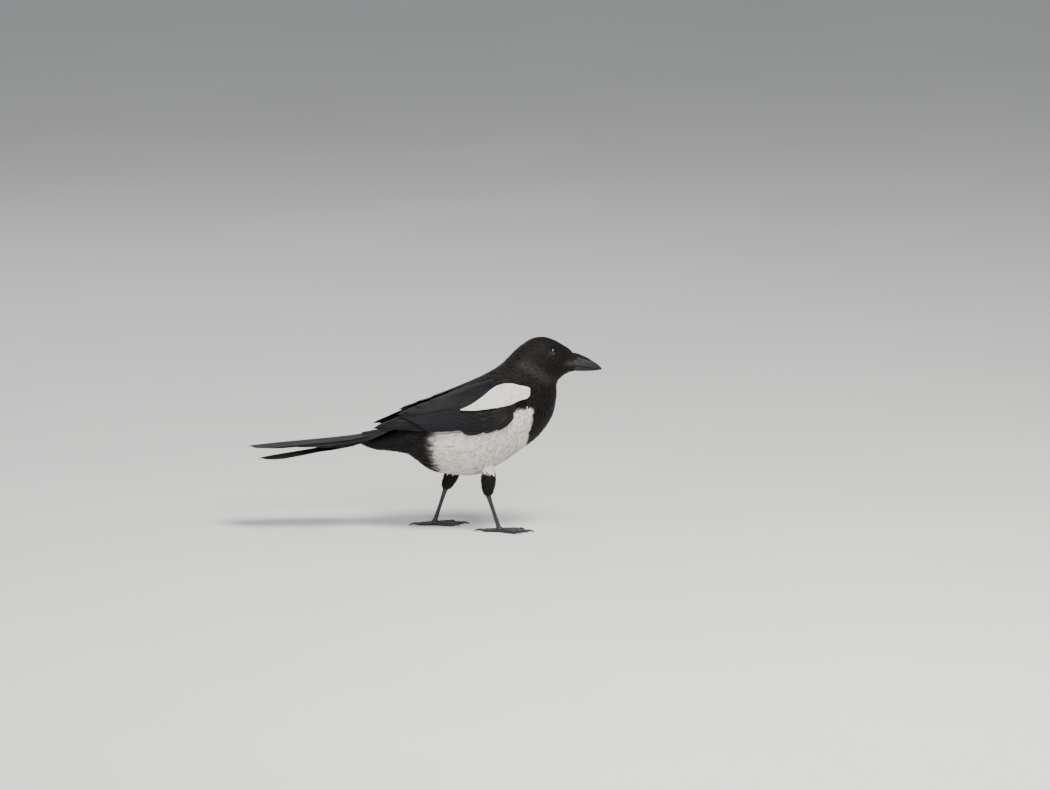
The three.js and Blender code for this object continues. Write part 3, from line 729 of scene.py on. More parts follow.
wingTiers = {   # roots and tips as x in millimetres and degrees from the top line, from the first to the last
    "primaries": {
        "count": 10, "shape": "flight", "half": 5.6, "lift": (0.2, 0.5), "tilt": 0.07, "sink": 0.34,
        "outer": 0.36, "gloss": 0.25, "roots": [(-8, 70), (0, 84)],
        "tips": [(-84, 56), (-97, 66), (-103, 75), (-90, 85), (-66, 93)]},
    "secondaries": {
        "count": 7, "shape": "flight", "half": 7.4, "lift": (1.9, 1.6), "tilt": 0.13, "sink": 0.03,
        "outer": 0.42, "gloss": 0.7, "roots": [(4, 42), (6, 80)], "tips": [(-77, 36), (-70, 58), (-52, 84)]},
    "tertials": {
        "count": 3, "shape": "flight", "half": 8.6, "lift": (2.4, 2.2), "tilt": 0.12, "sink": 0.0,
        "outer": 0.46, "gloss": 0.2, "roots": [(14, 33), (8, 48)], "tips": [(-44, 20), (-60, 27), (-72, 36)]},
    "alula": {
        "count": 3, "shape": "covert", "half": 3.6, "lift": (2.1, 1.9), "tilt": 0.1, "sink": 0.1,
        "outer": 0.35, "gloss": 0.1, "roots": [(35, 87), (31, 93)], "tips": [(2, 83), (8, 88), (14, 92)]},
    "primaryCoverts": {
        "count": 7, "shape": "covert", "half": 3.6, "lift": (1.9, 1.5), "tilt": 0.12, "sink": 0.05,
        "outer": 0.36, "gloss": 0.1, "roots": [(12, 78), (22, 91)], "tips": [(-33, 77), (-24, 84), (-8, 90)]},
    "greaterCoverts": {
        "count": 10, "shape": "covert", "half": 5.4, "lift": (2.5, 2.3), "tilt": 0.14, "sink": 0.0,
        "outer": 0.42, "gloss": 0.35, "roots": [(24, 36), (28, 86)],
        "tips": [(-23, 27), (-20, 52), (-8, 82)]},
    "medianCoverts": {
        "count": 9, "shape": "covert", "half": 5.0, "lift": (2.9, 2.9), "tilt": 0.14, "sink": 0.0,
        "outer": 0.45, "gloss": 0.1, "roots": [(38, 50), (42, 93)], "tips": [(6, 42), (8, 62), (13, 92)]},
    "lowerCoverts": {
        "count": 8, "shape": "covert", "half": 4.2, "lift": (3.1, 3.2), "tilt": 0.12, "sink": 0.0,
        "outer": 0.45, "gloss": 0.1, "roots": [(46, 70), (46, 95)], "tips": [(20, 66), (22, 78), (26, 96)]},
}


def foldPlace(tier, side, draw):
    # Where the feathers of one tier lie on the fold surface
    count = tier["count"]
    t = np.linspace(0, 1, count)
    roots = through(tier["roots"], t * (len(tier["roots"]) - 1))
    tips = through(tier["tips"], t * (len(tier["tips"]) - 1))
    tips[:, 0] += 1.1 * draw.normal(size=count)
    tips[:, 1] += 0.5 * draw.normal(size=count)
    ends = []
    for row in (roots, tips):
        turn = np.radians(row[:, 1])
        ends.append((stationAt(foldStations, row[:, 0], turn), turn))

    def onFold(i, u, v):
        s, angle = (start[i] + (end[i] - start[i]) * u for start, end in zip(*ends))
        around = np.linalg.norm(slopes(fold, s, angle)[1], axis=-1)
        lift = tier["lift"][0] + (tier["lift"][1] - tier["lift"][0]) * u
        quill = 0.35 * np.exp(-(v / 0.5) ** 2) * (1 - u)
        grow = lift + tier["tilt"] * v - tier["sink"] * i - 0.012 * v * v + quill
        points = fold(s, angle + v / around, grow)
        return points * np.array([1, side, 1])
    return onFold


def acrossRow(rows, s, t):
    # x, angle and height where t is the share of the way from the upper edge to the lower one
    rows = np.array([[*upper, *lower, height] for upper, lower, height in rows], dtype=float)
    x0, turn0, x1, turn1, height = np.moveaxis(through(rows, s), -1, 0)
    return x0 + (x1 - x0) * t, np.radians(turn0 + (turn1 - turn0) * t), height


def plateSheet(rows, side, drop, columns=9):
    # A sheet over the fold surface between two edges, whose rims turn down into the body
    s = np.linspace(0, len(rows) - 1, 4 * len(rows))[:, None]
    t = np.linspace(0, 1, columns)
    x, angle, height = acrossRow(rows, s, t)
    fromEdge = np.minimum(np.minimum(t, 1 - t) * 6, 1)
    rim = fromEdge * np.minimum(np.minimum(s, len(rows) - 1 - s) * 2, 1)
    grow = height * rim - drop * (1 - rim)
    points = fold(stationAt(foldStations, x, angle), angle, grow) * np.array([1, side, 1])
    return points.reshape(-1, 3), gridFaces(len(s), columns)


wingCore = [   # upper edge, lower edge, height
    ((50, 76), (50, 90), 0.6), ((46, 64), (47, 92), 1.6), ((35, 46), (36, 93), 1.8),
    ((18, 35), (20, 92), 1.6), ((0, 28), (0, 88), 1.0), ((-20, 24), (-20, 86), 0.0),
    ((-38, 23), (-37, 86), -0.5), ((-52, 26), (-50, 80), -0.8),
]
scapularRows = [   # the white shoulder patch, in the same way
    ((63.5, 86), (63, 91), 3), ((59.5, 80), (59, 89.5), 4.6), ((52, 71), (51.5, 85), 5.0),
    ((44, 61.5), (43, 82), 5.2), ((35, 53.5), (34, 77.5), 5.2), ((25.5, 50), (24.5, 73), 5.1),
    ((15.8, 53), (14.5, 69.5), 5.0),
    ((3, 58), (2, 66), 4.9), ((-9.5, 61.5), (-9.5, 63), 4.8),
]
scapulars = {
    "rows": 8, "across": 5, "span": 2.3, "half": 0.15, "rim": 0.13,   # span in rows of the outline
    "under": 0.7, "drop": 2.5, "coreDrop": 3.5,                       # of the sheets under the feathers
}


def sheetMaps(count):
    # A sheet under long feathers takes one point of each map
    return np.full((count, 2), 0.002), np.full((count, 2), (0.5, 0.2))


def addWing(name, side, draw, material):
    parts = [plateSheet(wingCore, side, scapulars["coreDrop"])]
    patches, blades = ([values] for values in sheetMaps(len(parts[0][0])))
    shade = [np.zeros(len(parts[0][0]))]
    for order, tier in enumerate(wingTiers.values()):
        count = tier["count"]
        halves = tier["half"] * draw.uniform(0.94, 1.06, count)
        made, faces, local = longFeathers(
            count, foldPlace(tier, side, draw), halves, tier["shape"], tier["outer"], 50 + order)
        parts.append((made, faces))
        patches.append(rootPatches(made, local))
        blades.append(local)
        each = np.clip(tier["gloss"] + 0.15 * draw.normal(size=count), 0, 1)
        shade.append(np.repeat(each, len(made) // count))
    uvs = {"OFBake": np.concatenate(patches), "blade": np.concatenate(blades)}
    mesh = makeMesh(f"wing_feathers_{name}", *merged(parts), uvs, {"shade": np.concatenate(shade)})
    addPiece(f"wing_feathers_{name}", mesh, material, "wing_plumage", [f"wing_{name}"])


def addShoulder(name, side, draw, material):
    sheet = plateSheet([(a, b, h - scapulars["under"]) for a, b, h in scapularRows], side, scapulars["drop"])
    margin, last = scapulars["rim"], scapulars["across"] - 1
    lines = [(j + 0.35 * (k % 2), margin + (1 - 2 * margin) * k / last)
             for j in np.linspace(6.2, -0.4, scapulars["rows"]) for k in range(last + 1)]

    def onPatch(i, u, v):
        start, q = lines[i]
        s = np.clip(start + scapulars["span"] * u, 0, len(scapularRows) - 1)
        x, angle, height = acrossRow(scapularRows, s, q + v)
        grow = height - 0.5 + 0.85 * u - 0.15 * (q - 0.5) - 9 * v * v
        return fold(stationAt(foldStations, x, angle), angle, grow) * np.array([1, side, 1])

    halves = np.full(len(lines), scapulars["half"])
    made, faces, local = longFeathers(len(lines), onPatch, halves, "covert", 0.5, 71)
    each = np.clip(0.3 + 0.2 * draw.normal(size=len(lines)), 0, 1)
    soil = np.concatenate([np.full(len(sheet[0]), 0.3), np.repeat(each, len(made) // len(lines))])
    patches, blades = sheetMaps(len(sheet[0]))
    uvs = {"OFBake": np.concatenate([patches, rootPatches(made, local)]),
           "blade": np.concatenate([blades, local])}
    looks = coatMarks(len(soil), 1.0, 0.0, soil)
    mesh = makeMesh(f"shoulder_{name}", *merged([sheet, (made, faces)]), uvs, looks)
    addPiece(f"shoulder_{name}", mesh, material, "white_plumage", [f"scapulars_{name}"])


tail = {
    "line": [(-84, 107.6), (-110, 102.2), (-134, 98.8), (-170, 95.2), (-205, 91.8), (-234, 88.6)],   # x, z
    "pairs": 6, "step": 1.2, "droop": 0.05,
    # of the middle and the outer feathers
    "half": (12.4, 11.4), "reach": (1.0, 0.5), "spread": (3.2, 17.0),
    "looseSide": -1, "loosePair": 2, "looseFall": 7.5, "looseReach": 0.92,
}


def addTail(material):
    order = [(side, pair) for side in (-1, 1) for pair in range(tail["pairs"])]
    draw = np.random.default_rng(7)
    lengths = draw.normal(0, 0.006, len(order))

    def share(key, t):
        return tail[key][0] + (tail[key][1] - tail[key][0]) * t

    def onTail(i, u, v):
        side, pair = order[i]
        t = pair / (tail["pairs"] - 1)
        hangs = side == tail["looseSide"] and pair == tail["loosePair"]
        late = side == tail["looseSide"] and pair > tail["loosePair"]
        layer = tail["pairs"] - 1 if hangs else pair - 1 if late else pair
        reach = tail["looseReach"] if hangs else share("reach", t ** 1.15)
        along = u * (reach + lengths[i])
        x, z = np.moveaxis(through(tail["line"], along * (len(tail["line"]) - 1)), -1, 0)
        out = share("spread", t) * np.minimum(1, 0.35 + 1.4 * along) * (1 - 0.25 * along)
        depth = tail["step"] * (layer + (0.5 if side > 0 else 0)) * smooth(0, 0.3, along)
        fall = tail["looseFall"] * smooth(0.2, 1, along) if hangs else 0
        y = out - v
        quill = 0.5 * np.exp(-(v / 0.7) ** 2) * (1 - 0.6 * u)
        height = z + 0.3 - depth - fall - tail["droop"] * np.abs(y) + quill - 0.006 * v * v
        return np.stack([x, side * y, height], axis=-1)

    halves = [share("half", pair / (tail["pairs"] - 1)) for _, pair in order]
    made, faces, local = longFeathers(len(order), onTail, halves, "tail", 0.36, 90)
    each = np.clip(0.5 + 0.15 * draw.normal(size=len(order)), 0, 1)
    uvs = {"OFBake": rootPatches(made, local, 0.004), "blade": local}
    mesh = makeMesh("tail_feathers", made, faces, uvs, {"shade": np.repeat(each, len(made) // len(order))})
    addPiece("tail_feathers", mesh, material, "tail_plumage", ["tail"])


tailCoverts = {
    "line": [(-58, 121), (-72, 113.2), (-84, 108.6), (-97, 105.4), (-110, 103.2), (-126, 101.2)],   # x, z
    "rows": [(-62, 5, 24), (-70, 6, 25), (-78, 5, 27), (-86, 4, 29)],   # x of the roots, feathers, length
    "half": 4.6, "gap": 4.4,
}


def addTailCoverts(material):
    # Rows of black feathers over the roots of the tail
    spots = [(x, (k - (count - 1) / 2) * tailCoverts["gap"] * (0.9 if j % 2 else 1.0), length, j)
             for j, (x, count, length) in enumerate(tailCoverts["rows"]) for k in range(count)]

    def onRump(i, u, v):
        start, out, length, row = spots[i]
        x = start - length * u
        z = lineAt(tailCoverts["line"][::-1], x, 0)
        y = out * (1 - 0.25 * u) + v
        lift = 1.4 * smooth(0, 0.35, u) - 1.0 + 0.25 * (len(tailCoverts["rows"]) - row)
        return np.stack([x, y, z + lift - 0.018 * y * y - 0.012 * v * v], axis=-1)

    halves = np.full(len(spots), tailCoverts["half"])
    made, faces, local = longFeathers(len(spots), onRump, halves, "covert", 0.5, 93)
    draw = np.random.default_rng(94)
    wear = np.clip(0.2 + 0.2 * draw.normal(size=len(spots)), 0, 1)
    looks = coatMarks(len(made), 0.0, np.repeat(wear, len(made) // len(spots)), 0.0)
    uvs = {"OFBake": rootPatches(made, local, 0.004), "blade": local}
    mesh = makeMesh("tail_coverts", made, faces, uvs, looks)
    addPiece("tail_coverts", mesh, material, "black_plumage")


# Legs and feet

legs = {
    "right": {"side": -1, "hip": (19.5, 21.0), "ankle": (19.0, 20.0), "foot": (31.0, 21.5), "heading": -6},
    "left": {"side": 1, "hip": (-15.0, 20.5), "ankle": (-26.0, 19.5), "foot": (-38.0, 21.0), "heading": 8},
}
leg = {
    "thighTop": 74, "ankleHeight": 40,
    # along the thigh: radius, and how far out it is as a share of the hip's distance from the middle
    "radii": (4.0, 5.4, 8.0, 6.2, 3.5), "inward": (0.66, 0.78, 1, 1, 1),
    "coatTop": 77, "whiteFrom": (67, 70),    # heights where the belly's white feathers cover the thigh
    "coatDepth": 1.5, "featherSpacing": 1.9, "featherLength": 8.0, "featherHalf": 1.8,
    "shankShares": (-0.06, 0.0, 0.06, 0.2, 0.5, 0.8, 0.93, 1.0),
    "shankRadii": (2.6, 2.9, 2.6, 2.2, 1.95, 2.1, 2.5, 2.9),
    "hub": ((-3.6, 0, 0.6), (-2.6, 0, 2.6), (0, 0.2, 3.2), (2.8, 0, 2.6), (3.8, 0, 0.6)),   # x, z, radius
    "scutes": 11, "toeRadius": 2.3, "toeSink": 0.35,
    "toeScutes": 1.6,                        # millimetres from one plate on a toe to the next
}
toes = [("inner", -30, 21, 7.5), ("middle", 0, 29, 8.5), ("outer", 29, 22, 7), ("hind", 180, 17, 10.5)]
toeShape = {   # shares of the length, heights over the toe's lowest line, and shares of toeRadius
    "along": [-0.1, 0.06, 0.3, 0.44, 0.58, 0.7, 0.84, 0.93, 1.0],
    "height": [0.7, 0.6, 0.35, 0.1, 0.0, 0.15, 0.05, 0.1, 0.1],
    "radius": [1.0, 1.1, 0.98, 1.06, 0.92, 0.96, 0.8, 0.78, 0.5],
}
clawShape = {   # in the same way, with radii in millimetres
    "along": [-0.12, 0.0, 0.2, 0.45, 0.72, 0.9, 1.0],
    "height": [-0.2, 0.0, 0.45, 0.5, 0.0, -0.75, -1.35],
    "radius": [1.3, 1.45, 1.35, 1.08, 0.76, 0.46, 0.12],
}


def legPoint(one, xy, z):
    return np.array([xy[0], one["side"] * xy[1], z], dtype=float)


def between(one, t, z):
    hip, ankle = np.array(one["hip"]), np.array(one["ankle"])
    return legPoint(one, hip + (ankle - hip) * t, z)


def sawtooth(phase):
    # Rises along each plate and drops at its end
    t = phase - np.floor(phase)
    return np.where(t < 0.86, t / 0.86, (1 - t) / 0.14)


def tubeMesh(rows, reference, rings, sides, ripple=None):
    s, angle = grid(np.linspace(0, len(rows) - 1, rings), turns(sides))
    return closed(onTube(rows, reference)(s, angle, ripple(s, angle) if ripple else 0.0 * s))


def footTube(rows, rings, sides, ripple=None):
    # A toe, a claw or the middle of the foot, flat where it meets the floor
    points, faces = tubeMesh(rows, np.array([0, 0, 1.0]), rings, sides, ripple)
    points[:, 2] = np.maximum(points[:, 2], 0)
    return points, faces


def addThigh(name, one, material):
    top, low = leg["thighTop"], leg["ankleHeight"]
    heights = [top + 6, top, (top + low) / 2, low + 0.12 * (top - low), low - 1]
    places = [between(one, t, z) * np.array([1, inward, 1])
              for t, z, inward in zip((-0.1, 0, 0.35, 0.85, 1), heights, leg["inward"])]
    rows = [[*spot, radius] for spot, radius in zip(places, leg["radii"])]
    surface = onTube(rows, np.array([1.0, 0, 0]))
    inner = [[*row[:3], row[3] - leg["coatDepth"]] for row in rows]
    points, faces = tubeMesh(inner, np.array([1.0, 0, 0]), 30, 24)
    looks = coatMarks(len(points), smooth(*leg["whiteFrom"], points[:, 2] + 4), 0.3, 0.7)
    addPiece(f"thigh_skin_{name}", makeMesh(f"thigh_skin_{name}", points, faces, None, looks), material,
             "black_plumage", [f"thigh_{name}"])
    s, angle, _ = scatter(surface, 0.2, 3.7, lambda s, a: np.full(len(s), leg["featherSpacing"]),
                          lambda p, a: p[..., 2] < leg["coatTop"], 60, 12000)
    draw = np.random.default_rng(61)
    root = surface(s, angle)[:, 2]
    size = np.minimum(leg["featherLength"], root - low + 1.5), np.full(len(s), leg["featherHalf"])
    looks = coatMarks(
        len(s), smooth(*leg["whiteFrom"], root + 0.7 * draw.normal(size=len(s))),
        np.clip(0.2 + 0.25 * draw.normal(size=len(s)), 0, 1),
        np.clip(0.8 + 0.2 * draw.normal(size=len(s)), 0, 1))
    addFeatherPiece(f"thigh_coat_{name}", surface, s, angle, size, 1, 1.2, 0.3, looks, material,
                    "black_plumage", 62)


def shankTube(one, centre):
    # The bare shank with its row of plates in front
    ankle = legPoint(one, one["ankle"], leg["ankleHeight"])
    shares = leg["shankShares"]
    rows = [[*(ankle + (centre - ankle) * t), r] for t, r in zip(shares, leg["shankRadii"])]
    way = math.radians(one["heading"])

    def plates(s, angle):
        t = np.interp(s, range(len(shares)), shares)
        facing = smooth(-0.1, 0.5, np.cos(angle))
        ridge = 0.12 * smooth(0.75, 1, -np.cos(angle))
        plate = 0.3 * facing * (sawtooth(t * leg["scutes"]) - 0.5) * smooth(0, 0.06, t)
        return plate - 0.18 * np.abs(np.sin(angle)) + ridge
    return tubeMesh(rows, np.array([math.cos(way), math.sin(way), 0.0]), 150, 20, plates)


def toeTubes(one, centre, turn, length, clawLength):
    # A toe with plates above and pads below, and its claw
    low = leg["toeRadius"] - leg["toeSink"]
    heading = math.radians(one["heading"] - one["side"] * turn)
    way = np.array([math.cos(heading), math.sin(heading)])

    def path(shape, start, reach, scale):
        return [[*(centre[:2] + way * (start + reach * t)), low + z, scale * r]
                for t, z, r in zip(shape["along"], shape["height"], shape["radius"])]

    def plates(s, angle):
        upper = smooth(0.1, 0.6, np.cos(angle))
        lower = smooth(0.2, 0.7, -np.cos(angle))
        done = s / (len(toeShape["along"]) - 1)
        pads = 0.14 * np.cos(2 * math.pi * done * 4) * lower
        return 0.24 * upper * (sawtooth(done * length / leg["toeScutes"]) - 0.5) + pads
    return (footTube(path(toeShape, 0, length, leg["toeRadius"]), 90, 18, plates),
            footTube(path(clawShape, length + 0.1, clawLength, 1.0), 30, 14))


def addFoot(name, one, looks):
    centre = legPoint(one, one["foot"], leg["toeRadius"] + 0.6)
    pairs = [toeTubes(one, centre, *sizes) for _, *sizes in toes]
    hub = [[*(centre + np.array([x, 0, z])), r] for x, z, r in leg["hub"]]
    scales = merged([shankTube(one, centre), *(toe for toe, _ in pairs), footTube(hub, 24, 20)])
    addPiece(f"leg_scales_{name}", makeMesh(f"leg_scales_{name}", *scales), looks["scale"], "leg_scale",
             [f"shank_{name}", f"foot_{name}"])
    claws = merged([claw for _, claw in pairs])
    addPiece(f"claws_{name}", makeMesh(f"claws_{name}", *claws), looks["claw"], "claw_horn",
             [f"claw_{name}_{toe[0]}" for toe in toes])


# Bill

bill = {
    "stations": [   # x, top z, bottom z, half width
        [99, 188.6, 170, 8.4], [103, 188.4, 169, 8], [110, 187.2, 168.6, 7], [117, 185, 168.4, 6],
        [124, 182, 168.5, 4.9], [130, 178.6, 168.8, 3.6], [135, 175.2, 169.4, 2.2],
        [138.5, 171.6, 170.1, 0.5]],
    "mouth": [[97, 177.2], [106, 175.4], [118, 173.9], [129, 172.2], [141, 169.2]],   # x, z
    "slit": 0.25, "lowerEnd": 0.955,
    "bristleSpacing": 0.85, "bristleLength": 11.0, "bristleHalf": 0.42,
    "bristleTurn": (0, 0.5, 1.35), "bristleEnd": (111.5, 112.0, 104.0),     # x of the tips at these angles
}


def billUpper(s, angle, grow=0.0):
    x, top, bottom, half = np.moveaxis(through(bill["stations"], s), -1, 0)
    mouth = lineAt(bill["mouth"], x, 0)
    up = np.cos(angle)
    return np.stack([x, (half + grow) * np.sign(np.sin(angle)) * np.abs(np.sin(angle)) ** 0.9,
                     mouth + (top - mouth + grow) * np.sign(up) * np.abs(up) ** 0.85], axis=-1)


def addBill(material):
    last = len(bill["stations"]) - 1
    end = last * bill["lowerEnd"]
    for name in ("upper", "lower"):
        s, t = grid(np.linspace(0, last if name == "upper" else end, 60), np.linspace(-1, 1, 27))
        x, top, bottom, half = np.moveaxis(through(bill["stations"], s), -1, 0)
        inner = lineAt(bill["mouth"], x, 0)
        angle = t * math.pi / 2
        if name == "upper":
            tomium = 0.35 * smooth(0.7, 1, np.abs(t)) * smooth(0, 1.5, last - s)
            z = inner + (top - inner) * np.cos(angle) ** 0.85 - tomium
            y = half * np.sign(t) * np.abs(np.sin(angle)) ** 0.9
        else:
            blunt = smooth(end, last * 0.86, s)
            inner = inner - bill["slit"]
            z = inner - (inner - bottom) * np.cos(angle) ** 0.8 * (0.35 + 0.65 * blunt)
            y = 0.93 * half * np.sin(angle) * (0.3 + 0.7 * blunt)
        shell = np.stack([x, y, z], axis=-1)
        under = shell[:, 1:-1][:, ::-1].copy()
        under[..., 2] = inner[:, 1:-1]
        mesh = makeMesh(f"bill_horn_{name}", *closed(np.concatenate([shell, under], axis=1)))
        addPiece(f"bill_horn_{name}", mesh, material, "bill_horn", [f"bill_{name}"])


def addBristles(material):
    # Stiff feathers that lie forward over the base of the bill
    def keep(points, angle):
        x, _, z = np.moveaxis(points, -1, 0)
        above = z > lineAt(bill["mouth"], x, 0) + 3.2
        return (x < 107.5) & above & (np.abs(angle) < bill["bristleTurn"][-1])
    s, angle, _ = scatter(billUpper, 0.0, 2.4, lambda s, a: np.full(len(s), bill["bristleSpacing"]),
                          keep, 81, 9000)
    start = billUpper(s, angle)[..., 0]
    end = np.interp(np.abs(angle), bill["bristleTurn"], bill["bristleEnd"])
    end += 0.8 * np.random.default_rng(83).normal(size=len(s))
    size = np.clip(end - start, 2.0, bill["bristleLength"]), np.full(len(s), bill["bristleHalf"])
    addFeatherPiece("nasal_bristles", billUpper, s, angle, size, 1, 0.3, 0.75,
                    coatMarks(len(s), 0.0, 0.15, 0.0), material, "black_plumage", 82)


# Eyes

eye = {
    "iris": 3.5, "pupil": 2.0, "opening": 3.9,   # radii in millimetres
    "lidProfile": [   # degrees from the eye's axis and height over the ball, once round the lid's section
        (41, 0.05), (40, 0.25), (42, 0.5), (46, 0.6), (50, 0.5), (55, 0.4), (62, 0.34), (70, 0.3), (80, 0.3),
        (92, 0.3), (105, 0.3), (105, 0.1), (80, 0.08), (60, 0.08), (48, 0.05)],
}


rim = {
    "Count": 46, "Ring": 4.55 * mm, "Length": 1.7 * mm, "Thickness": 0.28 * mm,
    "Lean": math.radians(14), "Unevenness": math.radians(9), "Seed": 12,
}


def rimNodes():
    # A ring of small cones that lean outwards from a circle
    tree = bpy.data.node_groups.new("eye rim", "GeometryNodeTree")
    for key, value in rim.items():
        kind = "NodeSocketInt" if isinstance(value, int) else "NodeSocketFloat"
        tree.interface.new_socket(name=key, in_out="INPUT", socket_type=kind)
    tree.interface.new_socket(name="Material", in_out="INPUT", socket_type="NodeSocketMaterial")
    tree.interface.new_socket(name="Geometry", in_out="OUTPUT", socket_type="NodeSocketGeometry")
    link = tree.links.new
    start = tree.nodes.new("NodeGroupInput").outputs
    circle = tree.nodes.new("GeometryNodeMeshCircle")
    link(start["Count"], circle.inputs["Vertices"])
    link(start["Ring"], circle.inputs["Radius"])
    cone = tree.nodes.new("GeometryNodeMeshCone")
    cone.inputs["Vertices"].default_value = 6
    cone.inputs["Radius Top"].default_value = 0
    link(start["Thickness"], cone.inputs["Radius Bottom"])
    link(start["Length"], cone.inputs["Depth"])
    index = tree.nodes.new("GeometryNodeInputIndex").outputs[0]
    turn = operate(tree, "DIVIDE", operate(tree, "MULTIPLY", index, 2 * math.pi), start["Count"])
    chance = tree.nodes.new("FunctionNodeRandomValue")
    chance.data_type = "FLOAT"
    link(start["Seed"], chance.inputs["Seed"])
    sway = operate(tree, "MULTIPLY", operate(tree, "SUBTRACT", chance.outputs[1], 0.5), start["Unevenness"])
    lean = operate(tree, "SUBTRACT", math.pi / 2, operate(tree, "ADD", start["Lean"], sway))
    angles = tree.nodes.new("ShaderNodeCombineXYZ")
    link(lean, angles.inputs["Y"])
    link(operate(tree, "ADD", turn, sway), angles.inputs["Z"])
    spread = tree.nodes.new("GeometryNodeInstanceOnPoints")
    link(circle.outputs[0], spread.inputs["Points"])
    link(cone.outputs[0], spread.inputs["Instance"])
    link(angles.outputs[0], spread.inputs["Rotation"])
    real = tree.nodes.new("GeometryNodeRealizeInstances")
    link(spread.outputs[0], real.inputs[0])
    dressed = tree.nodes.new("GeometryNodeSetMaterial")
    link(real.outputs[0], dressed.inputs["Geometry"])
    link(start["Material"], dressed.inputs["Material"])
    link(dressed.outputs[0], tree.nodes.new("NodeGroupOutput").inputs[0])
    return tree


def addRim(name, side, tree, material):
    holder = bpy.data.objects.new("rim maker", bpy.data.meshes.new("rim maker"))
    bpy.context.scene.collection.objects.link(holder)
    maker = holder.modifiers.new("rim", "NODES")
    maker.node_group = tree
    sockets = {item.name: item.identifier for item in tree.interface.items_tree if item.in_out == "INPUT"}
    for key, value in rim.items():
        maker[sockets[key]] = value
    maker[sockets["Material"]] = material
    mesh = bpy.data.meshes.new_from_object(holder.evaluated_get(bpy.context.evaluated_depsgraph_get()))
    bpy.data.objects.remove(holder)
    reach = math.sqrt(max(eyeRadius ** 2 - (rim["Ring"] / mm) ** 2, 0.1)) + 0.2
    x, y, z = place([drawnEye["x"], side * (eyeSide + reach), drawnEye["z"]])
    mesh.transform(Matrix(((1, 0, 0, x), (0, 0, side, y), (0, 0.92, 0, z), (0, 0, 0, 1))))
    if side > 0:
        mesh.flip_normals()
    for key, value in (("tone", 0.0), ("wear", 0.1), ("soil", 0.0)):
        layer = mesh.attributes.new(key, "FLOAT", "POINT")
        layer.data.foreach_set("value", np.full(len(mesh.vertices), value, dtype=np.float32))
    addPiece(f"eye_rim_{name}", mesh, material, "black_plumage")


def addEyeball(name, side, middle, material):
    rings, sides = 40, 48
    polar, turn = grid(np.linspace(0, math.pi, rings), turns(sides, 0))
    wide = np.sin(polar)
    ball = np.stack([wide * np.cos(turn), -np.cos(polar), wide * np.sin(turn)], axis=-1)
    points = (middle + eyeRadius * ball).reshape(-1, 3)
    faces = outward(points, gridFaces(rings, sides, wrap=True), middle)
    away = np.where(side * (points[:, 1] - middle[1]) > 0, wide.reshape(-1) * eyeRadius, eyeRadius)
    mesh = makeMesh(f"eyeball_{name}", points, faces, None, {"fromAxis": away})
    addPiece(f"eyeball_{name}", mesh, material, "eye", [f"eye_{name}"])


def addLids(name, side, middle, material):
    # A soft rim round the opening that follows the ball back into the head
    rings = 72
    profile = np.array(eye["lidProfile"])
    a = turns(rings, 0)[:, None]
    away = np.radians(profile[None, :, 0])
    almond = 1 + (0.05 * np.cos(2 * a) - 0.1 * np.abs(np.sin(a))) * np.clip(1.6 - away, 0, 1)
    folds = 0.05 * np.sin(9 * away + 0.5 * np.sin(3 * a)) * (away > 0.9)
    over = eyeRadius + profile[None, :, 1] + folds
    wide = over * np.sin(away) * almond
    out = over * np.cos(away) + 0.12
    ring = np.stack([wide * np.cos(a), side * out, wide * np.sin(a)], axis=-1) + middle
    points = ring.reshape(-1, 3)
    faces = gridFaces(rings + 1, len(profile), wrap=True)[:, [0, 3, 2, 1]] % len(points)
    first = points[faces[0]]
    normal = np.cross(first[2] - first[0], first[3] - first[1])
    core = middle + np.array([eye["opening"], side * eyeRadius * 0.75, 0])
    faces = faces[:, ::-1] if normal @ (first.mean(axis=0) - core) < 0 else faces
    addPiece(f"lids_{name}", makeMesh(f"lids_{name}", points, faces), material, "leg_scale")


def addEyes(looks):
    tree = rimNodes()
    for name, side in flanks.items():
        middle = np.array([drawnEye["x"], side * eyeSide, drawnEye["z"]])
        addEyeball(name, side, middle, looks["eye"])
        addLids(name, side, middle, looks["lid"])
        addRim(name, side, tree, looks["coat"])


def hornMaterial():
    # Bill horn: grey round the gape and dark elsewhere, with fine streaks
    material, tree, shader = newMaterial("bill horn", Roughness=0.5, **{"Specular IOR Level": 0.22})
    coordinates = tree.nodes.new("ShaderNodeTexCoord")
    split = tree.nodes.new("ShaderNodeSeparateXYZ")
    tree.links.new(coordinates.outputs["Object"], split.inputs[0])
    gape = place([104.5, 0, 176.5])
    reach = [operate(tree, "SUBTRACT", split.outputs[k], float(gape[k])) for k in (0, 2)]
    squares = [operate(tree, "POWER", operate(tree, "MULTIPLY", one, perMetre), 2.0)
               for one, perMetre in zip(reach, (95.0, 230.0))]
    squared = operate(tree, "ADD", *squares)
    pale = operate(tree, "DIVIDE", 1.0, operate(tree, "ADD", 1.0, squared))
    stops = [(0.3, (0.007, 0.007, 0.008)), (0.75, (0.0155, 0.015, 0.017))]
    streaks = ramp(tree, noise(tree, 260.0, 5.0), stops)
    tree.links.new(mixColour(tree, pale, streaks, (0.04, 0.037, 0.036)), shader.inputs["Base Color"])
    tree.links.new(bumpFrom(tree, noise(tree, 700.0, 4.0), 0.12, 0.0003), shader.inputs["Normal"])
    return material


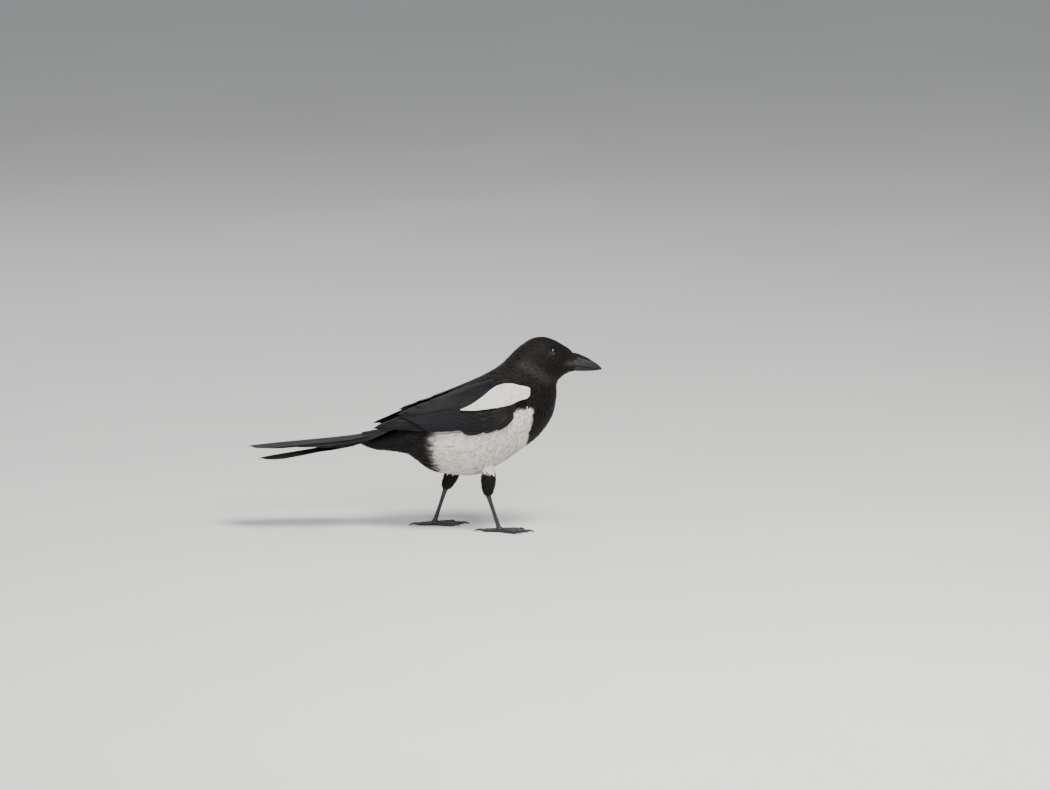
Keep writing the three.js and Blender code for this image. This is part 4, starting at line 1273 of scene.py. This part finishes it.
def scaleMaterial(name, dark, light, roughness, specular=0.5):
    material, tree, shader = newMaterial(name, **{"Specular IOR Level": specular})
    colour = ramp(tree, noise(tree, 320.0, 5.0), [(0.3, dark), (0.72, light)])
    tree.links.new(colour, shader.inputs["Base Color"])
    rough = ramp(tree, noise(tree, 150.0, 3.0), [(0.3, roughness), (0.7, roughness + 0.15)])
    tree.links.new(rough, shader.inputs["Roughness"])
    tree.links.new(bumpFrom(tree, noise(tree, 900.0, 3.0), 0.25, 0.0002), shader.inputs["Normal"])
    return material


def eyeMaterial():
    # A black pupil in a dark brown iris, under a wet surface
    material, tree, shader = newMaterial("eye", Roughness=0.07, **{"Specular IOR Level": 0.55})
    full = 6.0     # millimetres from the eye's axis at the end of the ramp
    away = operate(tree, "DIVIDE", attribute(tree, "fromAxis"), full)
    edge = eye["pupil"] / full
    iris = eye["iris"] / full
    colour = ramp(tree, away, [
        (edge - 0.02, 0.001), (edge + 0.02, (0.006, 0.004, 0.003)),
        (iris - 0.02, (0.010, 0.006, 0.0045)), (iris + 0.02, 0.002)])
    speckle = ramp(tree, noise(tree, 1500.0, 3.0), [(0.3, 0.6), (0.7, 1)])
    tree.links.new(mixColour(tree, 1.0, colour, speckle, "MULTIPLY"), shader.inputs["Base Color"])
    return material


def addFloor():
    half = 14.0
    corners = [(-half, -half, 0), (half, -half, 0), (half, half, 0), (-half, half, 0)]
    mesh = bpy.data.meshes.new("floor")
    mesh.from_pydata(corners, [], [(0, 1, 2, 3)])
    floor = bpy.data.objects.new("floor", mesh)
    bpy.context.scene.collection.objects.link(floor)
    material, tree, shader = newMaterial("floor", Roughness=0.85)
    colour = ramp(tree, noise(tree, 3.0, 2.0), [(0.3, (0.7, 0.7, 0.69)), (0.7, (0.73, 0.73, 0.72))])
    tree.links.new(colour, shader.inputs["Base Color"])
    mesh.materials.append(material)


addCamera()
addLights()
print("camera and lights")
coatLook = coatMaterial()
wingLook = bladeMaterial(**wingFinish)
tailLook = bladeMaterial(**tailFinish)
addSkin(coatLook)
addCoat(coatLook)
for flankName, flank in flanks.items():
    wingDraw = np.random.default_rng(31 + flank)
    addWing(flankName, flank, wingDraw, wingLook)
    addShoulder(flankName, flank, wingDraw, coatLook)
    print("wing", flankName)
addTail(tailLook)
addTailCoverts(coatLook)
print("tail")
legLooks = {
    "scale": scaleMaterial("leg scales", (0.006, 0.006, 0.0065), (0.02, 0.02, 0.022), 0.42),
    "claw": scaleMaterial("claw horn", (0.004, 0.004, 0.0045), (0.014, 0.013, 0.012), 0.25),
}
for legName, oneLeg in legs.items():
    addThigh(legName, oneLeg, coatLook)
    addFoot(legName, oneLeg, legLooks)
addBill(hornMaterial())
addBristles(coatLook)
addEyes({"eye": eyeMaterial(), "coat": coatLook,
         "lid": scaleMaterial("lids", (0.002, 0.002, 0.002), (0.006, 0.0055, 0.0055), 0.75, 0.12)})
addFloor()
print("legs, bill and eyes")
